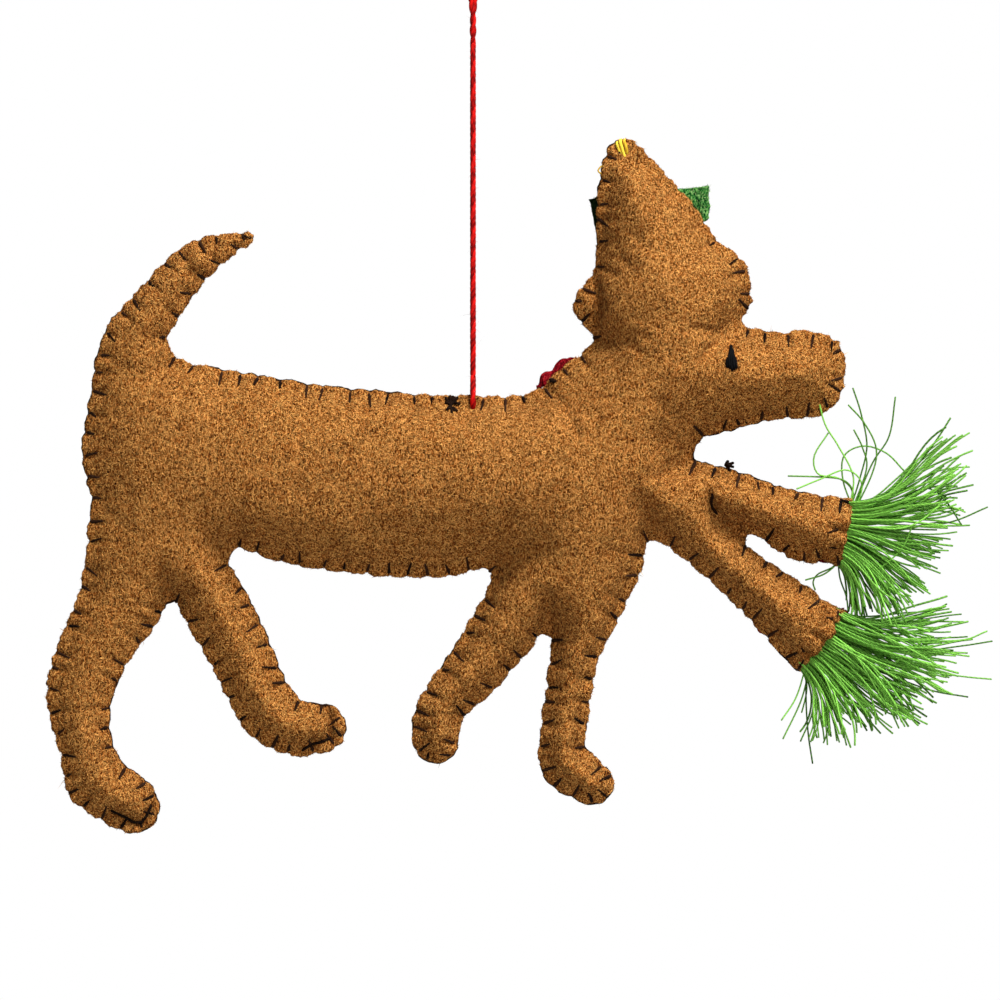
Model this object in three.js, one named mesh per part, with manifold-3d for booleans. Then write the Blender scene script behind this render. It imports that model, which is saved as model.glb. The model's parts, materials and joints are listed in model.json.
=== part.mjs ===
import * as THREE from 'three';
import { mergeVertices } from 'three/addons/utils/BufferGeometryUtils.js';
import Module from 'manifold-3d';

const wasm = await Module();
wasm.setup();

// A stuffed felt dog with a hat and a scarf, which hangs from a red cord stitched through its back.
// Millimetres. +Z is up, +X points the way the dog walks, and -Y faces the plain side. The origin
// is the inside top of the cord's loop, where it lies on its hook.

// Felt, seams and clearances
const felt = 1.0;
const trimFelt = 0.8;
const seamGap = 0.3;
const clearance = 0.3;
const stuffingGap = 0.5;
const seamWidth = 1.3;
const seamBlend = 2.4;
const stuffingRim = 0.4;
const net = 6.8;
const edgeSpacing = 4.5;
const seamSpacing = 6.6;
const spineSpacing = 4.8;

// Hanging cord
const cordDiameter = 0.75;
const hangDrop = 80.0;
const eyeDrop = 22.0;
const eyeWidth = 5.0;
const eyeSwell = 13.0;
const strandSpacing = 1.15;
const bridleRise = 6.0;
const cordDimple = 5.0;

// Body and limbs: length along the limb from the middle of its root, and full width
const torsoLength = 64.6;
const torsoHeight = 29.4;
const torsoDepth = 17.6;
const headLength = 33.3;
const headWidth = 24.3;
const muzzleLength = 18.4;
const muzzleWidth = 15.4;
const hatLength = 23.8;
const hatWidth = 19.2;
const napeEarLength = 2.2;
const napeEarWidth = 8.0;
const browEarLength = 3.9;
const browEarWidth = 9.2;
const tailLength = 34.0;
const tailWidth = 10.6;
const hindLegTrailingLength = 42.1;
const hindLegTrailingWidth = 14.4;
const hindLegLeadingLength = 37.2;
const hindLegLeadingWidth = 13.4;
const foreLegTrailingLength = 37.1;
const foreLegTrailingWidth = 13.4;
const foreLegLeadingLength = 37.3;
const foreLegLeadingWidth = 12.2;
const upperScarfLength = 25.8;
const upperScarfWidth = 11.8;
const lowerScarfLength = 32.2;
const lowerScarfWidth = 13.1;

// Cuffs of the scarf tails, and the tassels bound into them
const cuffTaper = 10.0;
const tasselHeadDepth = 3.0;
const tasselHeadLength = 4.0;
const strandThickness = 0.22;
const strandPitch = 0.244;
const strandRowPitch = 0.45;
const strandRoot = 0.5;
const upperStrandLength = 25.5;
const lowerStrandLength = 27.0;
const upperFan = [-48, 38].map((angle) => THREE.MathUtils.degToRad(angle));
const lowerFan = [-98, 2].map((angle) => THREE.MathUtils.degToRad(angle));

// Trimmings
const eyeLength = 4.0;
const eyeWidthAcross = 1.5;
const eyeHeight = 0.6;
const hatBandLength = 19.0;
const hatBandWidth = 7.8;
const wrapWidth = 6.4;
const wrapOverhang = 2.0;
const wrapReach = 10.0;
const tipThreadWidth = 2.2;
const tipThreadThickness = 0.8;
const tipThreadDrop = 2.6;
const hatBandSlant = THREE.MathUtils.degToRad(-1);

// Shares: how full the crown is, and how far the cuffs draw it in
const crownPowerShare = 0.6;
const panelWallShare = 0.8;
const cuffCrownShare = 0.75;
const chestSwellShare = 0.61;
const leastSwellShare = 0.64;
const mostSwellShare = 1.36;

// Shares: where the trimmings sit on their limbs
const hatBandPlaceShares = [0.57, -0.055];
const hatBandTaperShare = 0.33;
const wrapPlaceShares = [0.45, -0.09];
const eyePlaceShares = [0.39, 0.14];
const tipThreadPlaceShare = 0.045;
const eyeBevelShare = 0.33;
const bridleMeetShare = 0.8;
const bridlePartShare = 0.35;

// Shares: how the strands fill a tassel's head, how long they are, and how they bend and spread
const rowsShare = 0.84;
const chordShare = 0.93;
const upperShortShare = 0.76;
const lowerShortShare = 0.78;
const unevenShare = 0.1;
const bendShare = 0.5;
const spreadShare = 0.55;

// Shares and counts of the nets that the felt and the stuffing are laid on
const netMarginShare = 0.45;
const spineMarginShare = 0.2;
const trimCloseShare = 0.3;
const apartShare = 0.8;
const wadNearShare = 0.16;
const trimNearShare = 0.3;
const outsideSlopeShare = 0.3;
const leastRoomShare = 0.1;
const mouthShares = [-0.79, -0.42, 0, 0.42, 0.79];
const spansPerStation = 3;
const mostSteps = 6000;
const turnPerPoint = THREE.MathUtils.degToRad(45);

// The depth of the felt shell's crown over the middle of the torso
const crownRadius = torsoHeight / 2 - seamWidth;
const crownHeight = torsoDepth / 2 - felt - seamGap / 2;

// Limbs. A root is given in shares of the torso's length and height, from the hole that the cord
// passes through. A station is a place on the limb's middle line: shares of the limb's length
// along it and across it, and a share of its width.
const torso = limb(torsoLength, torsoHeight, -3.8, [-0.746, -0.283], [
  [0, 0, 0.96], [0.16, 0, 0.98], [0.32, -0.02, 1], [0.57, -0.03, 1.01], [0.75, -0.02, 0.99], [1, 0, 0.96]]);
const head = limb(headLength, headWidth, 60, [0.215, -0.403], [
  [0, 0, 1.12], [0.41, -0.11, 0.96], [0.77, -0.12, 0.88], [1, 0, 0.95]]);
const muzzle = limb(muzzleLength, muzzleWidth, 1.5, [0.525, 0.169], [
  [0, 0, 1.16], [0.61, -0.07, 0.91], [1, -0.02, 0.98]]);
const hat = limb(hatLength, hatWidth, 103.8, [0.473, 0.577], [
  [0, 0, 1.17], [0.26, -0.04, 0.98], [0.46, -0.03, 0.84], [0.67, 0, 0.66], [0.87, 0.01, 0.44], [1, 0, 0.28]]);
const napeEar = limb(napeEarLength, napeEarWidth, 180, [0.344, 0.544], [[0, 0, 0.96], [1, 0, 1]]);
const browEar = limb(browEarLength, browEarWidth, -83, [0.617, 0.697], [[0, 0, 1], [1, 0, 1]]);
const tail = limb(tailLength, tailWidth, 59, [-0.825, -0.076], [
  [0, 0, 1.52], [0.29, 0.21, 1], [0.41, 0.23, 0.85], [0.51, 0.22, 0.79], [0.61, 0.21, 0.74],
  [0.71, 0.19, 0.68], [0.82, 0.14, 0.58], [0.91, 0.08, 0.39], [1, 0, 0.21]]);
const hindLegTrailing = limb(hindLegTrailingLength, hindLegTrailingWidth, -92.6, [-0.825, -0.729], [
  [0, 0, 1.29], [0.25, -0.06, 1], [0.42, -0.14, 0.89], [0.56, -0.2, 0.78], [0.66, -0.2, 0.71],
  [0.76, -0.18, 0.62], [0.85, -0.15, 0.62], [0.92, -0.12, 0.67], [1, 0, 0.67]]);
const hindLegLeading = limb(hindLegLeadingLength, hindLegLeadingWidth, -54, [-0.713, -0.729], [
  [0, 0, 1.31], [0.22, -0.06, 1], [0.37, -0.08, 0.83], [0.51, -0.1, 0.79], [0.68, -0.13, 0.74],
  [0.83, -0.14, 0.74], [0.95, -0.08, 0.67], [1, 0, 0.62]]);
const foreLegTrailing = limb(foreLegTrailingLength, foreLegTrailingWidth, -122.3, [0.215, -0.756], [
  [0, 0, 1.43], [0.34, -0.01, 1], [0.55, -0.02, 0.76], [0.71, -0.03, 0.71], [0.82, -0.05, 0.64],
  [0.93, -0.04, 0.6], [1, 0, 0.57]]);
const foreLegLeading = limb(foreLegLeadingLength, foreLegLeadingWidth, -89.5, [0.29, -0.784], [
  [0, 0, 1.42], [0.26, -0.02, 1], [0.42, -0.07, 0.74], [0.56, -0.09, 0.63], [0.69, -0.11, 0.63],
  [0.84, -0.13, 0.61], [0.91, -0.12, 0.68], [1, 0, 0.61]]);
const upperScarf = limb(upperScarfLength, upperScarfWidth, -11.7, [0.537, -0.512], [
  [0, 0.06, 0.86], [0.29, 0.06, 0.76], [0.56, 0, 0.86], [1, -0.01, 1.08], [1.3, -0.01, 1.1]], true);
const lowerScarf = limb(lowerScarfLength, lowerScarfWidth, -40.6, [0.493, -0.577], [
  [0, 0.02, 0.9], [0.32, -0.01, 0.64], [0.68, -0.01, 0.76], [1, 0, 1], [1.3, 0, 1.02]], true);
const limbs = [torso, head, muzzle, hat, napeEar, browEar, tail, hindLegTrailing, hindLegLeading,
  foreLegTrailing, foreLegLeading, upperScarf, lowerScarf];

// Places where the crown is drawn in: the cord's hole, and the two cuffs
const dimples = [
  { x: 0, z: 0, radius: cordDimple, share: 0 },
  { ...upperScarf.at(1, 0), radius: cuffTaper, share: cuffCrownShare },
  { ...lowerScarf.at(1, 0), radius: cuffTaper, share: cuffCrownShare },
];

// A limb with its frame, and its middle line as short spans that each have a radius at both ends
function limb(length, width, leanDegrees, rootShares, stationShares, cuffed = false) {
  const lean = THREE.MathUtils.degToRad(leanDegrees);
  const [ax, az] = [Math.cos(lean), Math.sin(lean)];
  const [rootX, rootZ] = [rootShares[0] * torsoLength, rootShares[1] * torsoHeight];
  const at = (alongShare, acrossShare) => ({
    x: rootX + length * (alongShare * ax - acrossShare * az),
    z: rootZ + length * (alongShare * az + acrossShare * ax),
  });
  const stations = stationShares.map(([along, across, widthShare]) => {
    const place = at(along, across);
    return new THREE.Vector3(place.x, widthShare * width / 2, place.z);
  });
  const line = new THREE.CatmullRomCurve3(stations).getPoints(spansPerStation * (stations.length - 1));
  const middle = at(0.5, 0);
  const reach = Math.max(...line.map((place) => Math.hypot(place.x - middle.x, place.z - middle.z) + 2 * place.y));
  return { length, width, lean, ax, az, at, line, cuffed, middle, reach };
}

// How far a place lies inside the limb whose width is drawn in by an inset. A cuffed limb ends
// square at its length, less the cuff inset, unless the cuff inset is minus infinity.
function depthIn(part, x, z, inset, cuffInset = 0) {
  let depth = -part.reach;
  if (Math.hypot(x - part.middle.x, z - part.middle.z) > part.reach) return depth;
  for (let i = 1; i < part.line.length; i++) {
    const a = part.line[i - 1];
    const b = part.line[i];
    const dx = b.x - a.x;
    const dz = b.z - a.z;
    const span = Math.min(Math.max(((x - a.x) * dx + (z - a.z) * dz) / (dx * dx + dz * dz), 0), 1);
    const distance = Math.hypot(x - a.x - span * dx, z - a.z - span * dz);
    const radius = a.y + span * (b.y - a.y) - inset;
    if (radius > 0) depth = Math.max(depth, (radius * radius - distance * distance) / (2 * radius));
  }
  if (!part.cuffed) return depth;
  const end = part.at(1, 0);
  return Math.min(depth, (end.x - x) * part.ax + (end.z - z) * part.az - cuffInset);
}

// The depth inside the whole outline: the limbs' depths, blended softly where limbs meet
function depthInside(x, z, inset = 0, cuffInset = 0, parts = limbs) {
  let depth = -Infinity;
  for (const part of parts) {
    const next = depthIn(part, x, z, inset, cuffInset);
    const near = Math.max(seamBlend - Math.abs(depth - next), 0) / seamBlend;
    depth = Math.max(depth, next) + near * near * seamBlend / 4;
  }
  return depth;
}

// Height of the crown over the middle plane, for an outline drawn in by an inset
function crown(x, z, inset) {
  const depth = depthInside(x, z, inset, -Infinity);
  if (depth <= 0) return 0;
  const swell = 1 + chestSwellShare * (x - torso.middle.x) / torsoLength;
  let height = crownHeight * Math.pow(2 * depth / crownRadius, crownPowerShare)
    * THREE.MathUtils.clamp(swell, leastSwellShare, mostSwellShare);
  for (const dimple of dimples) {
    const away = THREE.MathUtils.smoothstep(Math.hypot(x - dimple.x, z - dimple.z), 0, dimple.radius);
    height *= dimple.share + (1 - dimple.share) * away;
  }
  return height;
}

// Half depths of the felt's outer and inner face
const outerFace = (x, z) => seamGap / 2 + felt + crown(x, z, seamWidth);
const innerFace = (x, z) => seamGap / 2 + crown(x, z, seamWidth + panelWallShare * felt);

// The closed line where a region's value is zero, walked with the region on its left
function traceLoop(region, seedX, seedZ) {
  const stride = edgeSpacing / 10;
  const probe = stride / 20;
  const slope = (x, z) => [(region(x + probe, z) - region(x - probe, z)) / (2 * probe),
    (region(x, z + probe) - region(x, z - probe)) / (2 * probe)];
  const settle = (x, z) => {
    for (let turn = 0; turn < 4; turn++) {
      const [sx, sz] = slope(x, z);
      const step = THREE.MathUtils.clamp(region(x, z) / Math.hypot(sx, sz), -stride, stride);
      x -= step * sx / Math.hypot(sx, sz);
      z -= step * sz / Math.hypot(sx, sz);
    }
    return [x, z];
  };
  let x = seedX;
  while (region(x, seedZ) > 0) x -= stride;
  let place = settle(x, seedZ);
  const loop = [place];
  for (let count = 0; count < mostSteps; count++) {
    const [sx, sz] = slope(...place);
    place = settle(place[0] + stride * sz / Math.hypot(sx, sz), place[1] - stride * sx / Math.hypot(sx, sz));
    if (count > 8 && Math.hypot(place[0] - loop[0][0], place[1] - loop[0][1]) < stride) break;
    loop.push(place);
  }
  return loop;
}

// Fewer points along a traced loop: one for each span of length or of turning
function thin(loop, spacing) {
  const cost = loop.map((place, i) => {
    const last = loop[(i + loop.length - 2) % loop.length];
    const next = loop[(i + 2) % loop.length];
    const turn = Math.atan2(next[1] - place[1], next[0] - place[0])
      - Math.atan2(place[1] - last[1], place[0] - last[0]);
    const before = loop[(i + loop.length - 1) % loop.length];
    return Math.hypot(place[0] - before[0], place[1] - before[1]) / spacing
      + Math.abs(Math.atan2(Math.sin(turn), Math.cos(turn))) / (2 * turnPerPoint);
  });
  const total = cost.reduce((sum, value) => sum + value, 0);
  const share = total / Math.round(total);
  const kept = [];
  let run = share / 2;
  loop.forEach((place, i) => {
    run += cost[i];
    if (run >= share) {
      kept.push(place);
      run -= share;
    }
  });
  return kept;
}

// Least distance from a place to a closed loop of points
function distanceTo(loop, x, z) {
  let least = Infinity;
  loop.forEach(([ax, az], i) => {
    const [bx, bz] = loop[(i + 1) % loop.length];
    const [dx, dz] = [bx - ax, bz - az];
    const span = THREE.MathUtils.clamp(((x - ax) * dx + (z - az) * dz) / (dx * dx + dz * dz), 0, 1);
    least = Math.min(least, Math.hypot(x - ax - span * dx, z - az - span * dz));
  });
  return least;
}

// Triangles between points, by adding one point at a time to a Delaunay net. Each point is tested
// a little off its place, so that no four lie on one circle.
function triangulate(points) {
  const nudge = net / 2000;
  const at = points.map(([x, z], i) => [x + nudge * Math.sin(7 * i), z + nudge * Math.cos(11 * i)]);
  const reach = 100 * torsoLength;
  at.push([-reach, -reach], [reach, -reach], [0, reach]);
  const count = points.length;
  const withCircle = (a, b, c) => {
    const [[ax, az], [bx, bz], [cx, cz]] = [at[a], at[b], at[c]];
    const twice = 2 * (ax * (bz - cz) + bx * (cz - az) + cx * (az - bz));
    const [sa, sb, sc] = [ax * ax + az * az, bx * bx + bz * bz, cx * cx + cz * cz];
    const x = (sa * (bz - cz) + sb * (cz - az) + sc * (az - bz)) / twice;
    const z = (sa * (cx - bx) + sb * (ax - cx) + sc * (bx - ax)) / twice;
    return { corners: [a, b, c], x, z, reach: Math.hypot(x - ax, z - az) };
  };
  let triangles = [withCircle(count, count + 1, count + 2)];
  for (let i = 0; i < count; i++) {
    const rim = new Map();
    const kept = [];
    for (const triangle of triangles) {
      if (Math.hypot(at[i][0] - triangle.x, at[i][1] - triangle.z) > triangle.reach) {
        kept.push(triangle);
        continue;
      }
      triangle.corners.forEach((a, k) => {
        const b = triangle.corners[(k + 1) % 3];
        if (!rim.delete(`${b},${a}`)) rim.set(`${a},${b}`, [a, b]);
      });
    }
    rim.forEach(([a, b]) => kept.push(withCircle(a, b, i)));
    triangles = kept;
  }
  return triangles.map((triangle) => triangle.corners).filter((corners) => Math.max(...corners) < count);
}

// A net over a region: its edge, any extra loops, and the shared points inside, which keep off the
// edges by a share of their own margin
function layNet(region, edge, extraLoops = [], closeShare = 1) {
  const loops = [edge, ...extraLoops];
  const inner = sharedPoints.filter(([x, z, marginShare]) => region(x, z) > 0
    && loops.every((loop) => distanceTo(loop, x, z) > closeShare * marginShare * net));
  const points = [...loops.flat(), ...inner];
  const triangles = triangulate(points).filter((corners) => {
    const x = corners.reduce((sum, i) => sum + points[i][0], 0) / 3;
    const z = corners.reduce((sum, i) => sum + points[i][1], 0) / 3;
    return region(x, z) > 0;
  });
  return { points, triangles };
}

// The height of a net's flat facets over any place, from the heights of its points
function facetHeight({ points, triangles }, height) {
  const heights = points.map(([x, z]) => height(x, z));
  const cells = new Map();
  const cell = (x, z) => `${Math.floor(x / net)},${Math.floor(z / net)}`;
  triangles.forEach((corners) => {
    const xs = corners.map((i) => points[i][0]);
    const zs = corners.map((i) => points[i][1]);
    for (let x = Math.floor(Math.min(...xs) / net); x <= Math.floor(Math.max(...xs) / net); x++) {
      for (let z = Math.floor(Math.min(...zs) / net); z <= Math.floor(Math.max(...zs) / net); z++) {
        const key = `${x},${z}`;
        if (!cells.has(key)) cells.set(key, []);
        cells.get(key).push(corners);
      }
    }
  });
  return (x, z) => {
    for (const [a, b, c] of cells.get(cell(x, z)) ?? []) {
      const [[ax, az], [bx, bz], [cx, cz]] = [points[a], points[b], points[c]];
      const whole = (bx - ax) * (cz - az) - (cx - ax) * (bz - az);
      const shareB = ((x - ax) * (cz - az) - (cx - ax) * (z - az)) / whole;
      const shareC = ((bx - ax) * (z - az) - (x - ax) * (bz - az)) / whole;
      if (shareB < 0 || shareC < 0 || shareB + shareC > 1) continue;
      return heights[a] + shareB * (heights[b] - heights[a]) + shareC * (heights[c] - heights[a]);
    }
    return height(x, z);
  };
}

// The closed solid between two heights over a net. Heights are half depths, and side is -1 for
// the plain side and 1 for the scarf side.
function sheetSolid({ points, triangles }, low, high, side) {
  const count = points.length;
  const position = [];
  for (const height of [low, high]) {
    for (const [x, z] of points) position.push(x, side * height(x, z), z - hangDrop);
  }
  const index = [];
  const edges = new Map();
  const add = (a, b, c) => (side > 0 ? index.push(a, b, c) : index.push(a, c, b));
  for (const [a, b, c] of triangles) {
    add(a, b, c);
    add(a + count, c + count, b + count);
    for (const [from, to] of [[a, b], [b, c], [c, a]]) {
      if (!edges.delete(`${to},${from}`)) edges.set(`${from},${to}`, [from, to]);
    }
  }
  for (const [from, to] of edges.values()) {
    add(from, from + count, to);
    add(to, from + count, to + count);
  }
  const geometry = new THREE.BufferGeometry();
  geometry.setAttribute('position', new THREE.Float32BufferAttribute(position, 3));
  geometry.setIndex(index);
  geometry.computeVertexNormals();
  return geometry;
}

const node = (name, geometry, material) => {
  const mesh = new THREE.Mesh(geometry, material);
  mesh.name = name;
  return mesh;
};
const matte = (color, roughness = 0.95) => new THREE.MeshStandardMaterial({ color, roughness, metalness: 0 });

// The net's shared points: the middle lines of the limbs, and a triangular lattice between them.
// The third value is the share of the net's width that a point keeps from an edge.
const sharedPoints = [];
for (const part of limbs) {
  const steps = Math.ceil(part.length / spineSpacing);
  const line = new THREE.CatmullRomCurve3(part.line).getSpacedPoints(steps);
  line.forEach((place) => offerPoint(place.x, place.z, spineMarginShare));
}
const latticeReach = 2 * torsoLength;
const rowPitch = net * Math.sqrt(3) / 2;
for (let row = -Math.ceil(latticeReach / rowPitch); row * rowPitch < latticeReach; row++) {
  const start = -Math.ceil(latticeReach / net) * net + (row % 2 === 0 ? 0 : net / 2);
  for (let x = start; x < latticeReach; x += net) offerPoint(x, row * rowPitch, netMarginShare);
}

function offerPoint(x, z, marginShare) {
  if (depthInside(x, z) < 0) return;
  const apart = apartShare * (marginShare === spineMarginShare ? spineSpacing : net);
  if (sharedPoints.some((other) => Math.hypot(other[0] - x, other[1] - z) < apart)) return;
  sharedPoints.push([x, z, marginShare]);
}

// The panels' outline, their net, and the heights of its facets
const holeRadius = cordDiameter / 2 + clearance;
const outline = (x, z) => Math.min(depthInside(x, z), Math.hypot(x, z) - holeRadius);
const panelNet = layPanelNet();
const outerFacet = facetHeight(panelNet, outerFace);
const innerFacet = facetHeight(panelNet, innerFace);
const innerLow = nearest(innerFacet, Math.min, wadNearShare);
const outerHigh = nearest(outerFacet, Math.max, trimNearShare);

// The least or the most of a height at a place and close around it
function nearest(height, choose, nearShare) {
  const reach = nearShare * net;
  const turns = [0, 1, 2, 3, 4, 5].map((step) => step * Math.PI / 3);
  return (x, z) => choose(height(x, z),
    ...turns.map((turn) => height(x + reach * Math.cos(turn), z + reach * Math.sin(turn))));
}

// The panels' net. Its edge is the outline, with a row of points of its own across each cuff's
// mouth. Extra loops follow the seam, where the crown starts, and the cord's hole.
function layPanelNet() {
  const start = torso.middle;
  const atMouth = ([x, z]) => [upperScarf, lowerScarf].some((part) => {
    const end = part.at(1, 0);
    return Math.abs((end.x - x) * part.ax + (end.z - z) * part.az) < seamWidth
      && Math.hypot(end.x - x, end.z - z) < part.width;
  });
  const edge = thin(traceLoop(outline, start.x, start.z), edgeSpacing).filter((place) => !atMouth(place));
  const seam = thin(traceLoop((x, z) => depthInside(x, z, seamWidth), start.x, start.z), seamSpacing)
    .filter((place) => !atMouth(place));
  const rowAcross = (part, inward, shares) => shares.map((share) => {
    const place = part.at(1 - inward / part.length, share * part.width / 2 / part.length);
    return [place.x, place.z];
  });
  const rows = [upperScarf, lowerScarf].flatMap((part) => [
    rowAcross(part, 0, [-1, ...mouthShares, 1]),
    rowAcross(part, tasselHeadLength + stuffingGap, mouthShares)]);
  const hole = [0, 1, 2, 3, 4, 5, 6, 7].map((step) => [
    holeRadius * Math.cos(step * Math.PI / 4), holeRadius * Math.sin(step * Math.PI / 4)]);
  return layNet(outline, edge, [seam, hole, ...rows]);
}

// Felt panels: two layers of one outline, whose edges lie flat together along the seam
function feltPanels() {
  const brown = matte(0x9c6b3c);
  return [
    node('felt_panel_plain_side', sheetSolid(panelNet, innerFace, outerFace, -1), brown),
    node('felt_panel_scarf_side', sheetSolid(panelNet, innerFace, outerFace, 1), brown),
  ];
}

// Stuffing: one wad for the torso, and one for each limb, cut back from the larger ones
function stuffing() {
  const white = matte(0xe8e2d6, 1);
  const wads = [
    ['torso', [torso]], ['head', [head, napeEar, browEar]], ['muzzle', [muzzle]], ['hat', [hat]],
    ['hind_leg_trailing', [hindLegTrailing]], ['hind_leg_leading', [hindLegLeading]],
    ['fore_leg_leading', [foreLegLeading]], ['fore_leg_trailing', [foreLegTrailing]],
    ['tail', [tail]], ['scarf_tail_upper', [upperScarf]], ['scarf_tail_lower', [lowerScarf]],
  ];
  const cuffInset = tasselHeadLength + stuffingGap;
  const room = (x, z) => Math.max(innerFace(x, z) - clearance, leastRoomShare * stuffingRim);
  const cavity = asSolid(sheetSolid(panelNet, (x, z) => -room(x, z), room, 1));
  return wads.map(([name, parts], order) => {
    const larger = wads.slice(0, order).flatMap(([, others]) => others);
    const region = (x, z) => Math.min(
      innerFacet(x, z) - clearance - stuffingRim
        + outsideSlopeShare * Math.min(depthInside(x, z, seamWidth), 0),
      depthInside(x, z, 0, cuffInset, parts),
      -Math.max(...larger.map((other) => depthIn(other, x, z, 0, cuffInset))) - stuffingGap,
    );
    const seed = deepest(region, parts[0]);
    const wadNet = layNet(region, thin(traceLoop(region, seed.x, seed.z), spineSpacing));
    const face = (x, z) => Math.max(innerLow(x, z) - clearance, stuffingRim);
    const cut = asSolid(sheetSolid(wadNet, (x, z) => -face(x, z), face, 1)).intersect(cavity)
      .simplify(leastRoomShare * stuffingRim);
    const wad = cut.decompose().reduce((most, next) => (next.volume() > most.volume() ? next : most));
    return node(`stuffing_${name}`, asGeometry(wad), white);
  });
}

// The place on a limb's middle line that lies deepest in a region
function deepest(region, part) {
  return part.line.reduce((best, place) => (region(place.x, place.z) > region(best.x, best.z) ? place : best));
}

// A strip of felt laid on the scarf side, over the region's own edge and the panel's crown
function appliedStrip(name, region, seed, material) {
  const under = (x, z) => outerHigh(x, z) + clearance;
  const over = (x, z) => under(x, z) + trimFelt;
  const stripNet = layNet(region, thin(traceLoop(region, seed.x, seed.z), edgeSpacing), [], trimCloseShare);
  const panel = sheetSolid(panelNet, () => 0, (x, z) => outerFace(x, z) + clearance, 1);
  return node(name, asGeometry(asSolid(sheetSolid(stripNet, under, over, 1)).subtract(asSolid(panel))), material);
}

// Trimmings on the scarf side: the hat's band, and the scarf's wrap and its two tails
function trimmings() {
  const green = matte(0x1f4a2b);
  const red = matte(0x7c1822);
  const band = hat.at(...hatBandPlaceShares);
  const bandLean = hat.lean + hatBandSlant;
  const [upX, upZ] = [Math.cos(bandLean), Math.sin(bandLean)];
  const bandRegion = (x, z) => {
    const along = (x - band.x) * upZ - (z - band.z) * upX;
    const up = (x - band.x) * upX + (z - band.z) * upZ;
    const taper = 1 - hatBandTaperShare * 2 * along / hatBandLength;
    return Math.min(hatBandWidth / 2 * taper - Math.abs(up), hatBandLength / 2 - Math.abs(along));
  };
  const wrap = head.at(...wrapPlaceShares);
  const wrapRegion = (x, z) => Math.min(
    wrapWidth / 2 - Math.abs((x - wrap.x) * head.ax + (z - wrap.z) * head.az),
    wrapReach + (z - wrap.z) * head.ax - (x - wrap.x) * head.az,
    depthIn(head, x, z, -wrapOverhang),
  );
  const tailRegion = (part) => (x, z) => Math.min(
    depthIn(part, x, z, seamWidth),
    -wrapRegion(x, z) - stuffingGap,
    -Math.max(depthIn(head, x, z, 0), part === lowerScarf ? depthIn(upperScarf, x, z, 0) : -Infinity) - stuffingGap,
  );
  return [
    appliedStrip('hat_band', bandRegion, band, green),
    appliedStrip('scarf_wrap', wrapRegion, wrap, red),
    appliedStrip('scarf_tail_upper_felt', tailRegion(upperScarf), deepest(tailRegion(upperScarf), upperScarf), red),
    appliedStrip('scarf_tail_lower_felt', tailRegion(lowerScarf), deepest(tailRegion(lowerScarf), lowerScarf), red),
  ];
}

// Eyes: one upright teardrop of satin stitches on each side of the head
function eyes() {
  const black = matte(0x141114, 0.6);
  const shape = new THREE.Shape();
  const [half, low] = [eyeWidthAcross / 2, -eyeLength / 2 + eyeWidthAcross / 2];
  shape.moveTo(0, eyeLength / 2);
  shape.quadraticCurveTo(-half, eyeLength / 6, -half, low);
  shape.absarc(0, low, half, Math.PI, 2 * Math.PI, false);
  shape.quadraticCurveTo(half, eyeLength / 6, 0, eyeLength / 2);
  const place = muzzle.at(...eyePlaceShares);
  const bevelSize = eyeBevelShare * eyeHeight;
  return [-1, 1].map((side) => {
    const geometry = new THREE.ExtrudeGeometry(shape, {
      depth: eyeHeight / 2, bevelThickness: eyeHeight / 2, bevelSize, bevelOffset: -bevelSize,
      bevelSegments: 1, curveSegments: 5,
    });
    const probe = eyeLength / 2;
    const slopeX = (outerFace(place.x + probe, place.z) - outerFace(place.x - probe, place.z)) / (2 * probe);
    const slopeZ = (outerFace(place.x, place.z + probe) - outerFace(place.x, place.z - probe)) / (2 * probe);
    const out = new THREE.Vector3(-slopeX, side, -slopeZ).normalize();
    const up = new THREE.Vector3(0, 0, 1).addScaledVector(out, -out.z).normalize();
    const across = new THREE.Vector3().crossVectors(up, out);
    const mesh = node(side < 0 ? 'eye_stitch_plain_side' : 'eye_stitch_scarf_side', geometry, black);
    mesh.quaternion.setFromRotationMatrix(new THREE.Matrix4().makeBasis(across, up, out));
    mesh.position.set(place.x, side * outerHigh(place.x, place.z), place.z - hangDrop);
    mesh.position.addScaledVector(out, eyeHeight / 2);
    return mesh;
  });
}

// A tube along a route, square at both ends
function tube(route, diameter, steps) {
  const section = new THREE.Shape(new THREE.Path().absarc(0, 0, diameter / 2, 0, 2 * Math.PI).getPoints(4));
  const path = new THREE.CatmullRomCurve3(route.map(([x, y, z]) => new THREE.Vector3(x, y, z)));
  return new THREE.ExtrudeGeometry(section, { steps, bevelEnabled: false, extrudePath: path });
}

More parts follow.
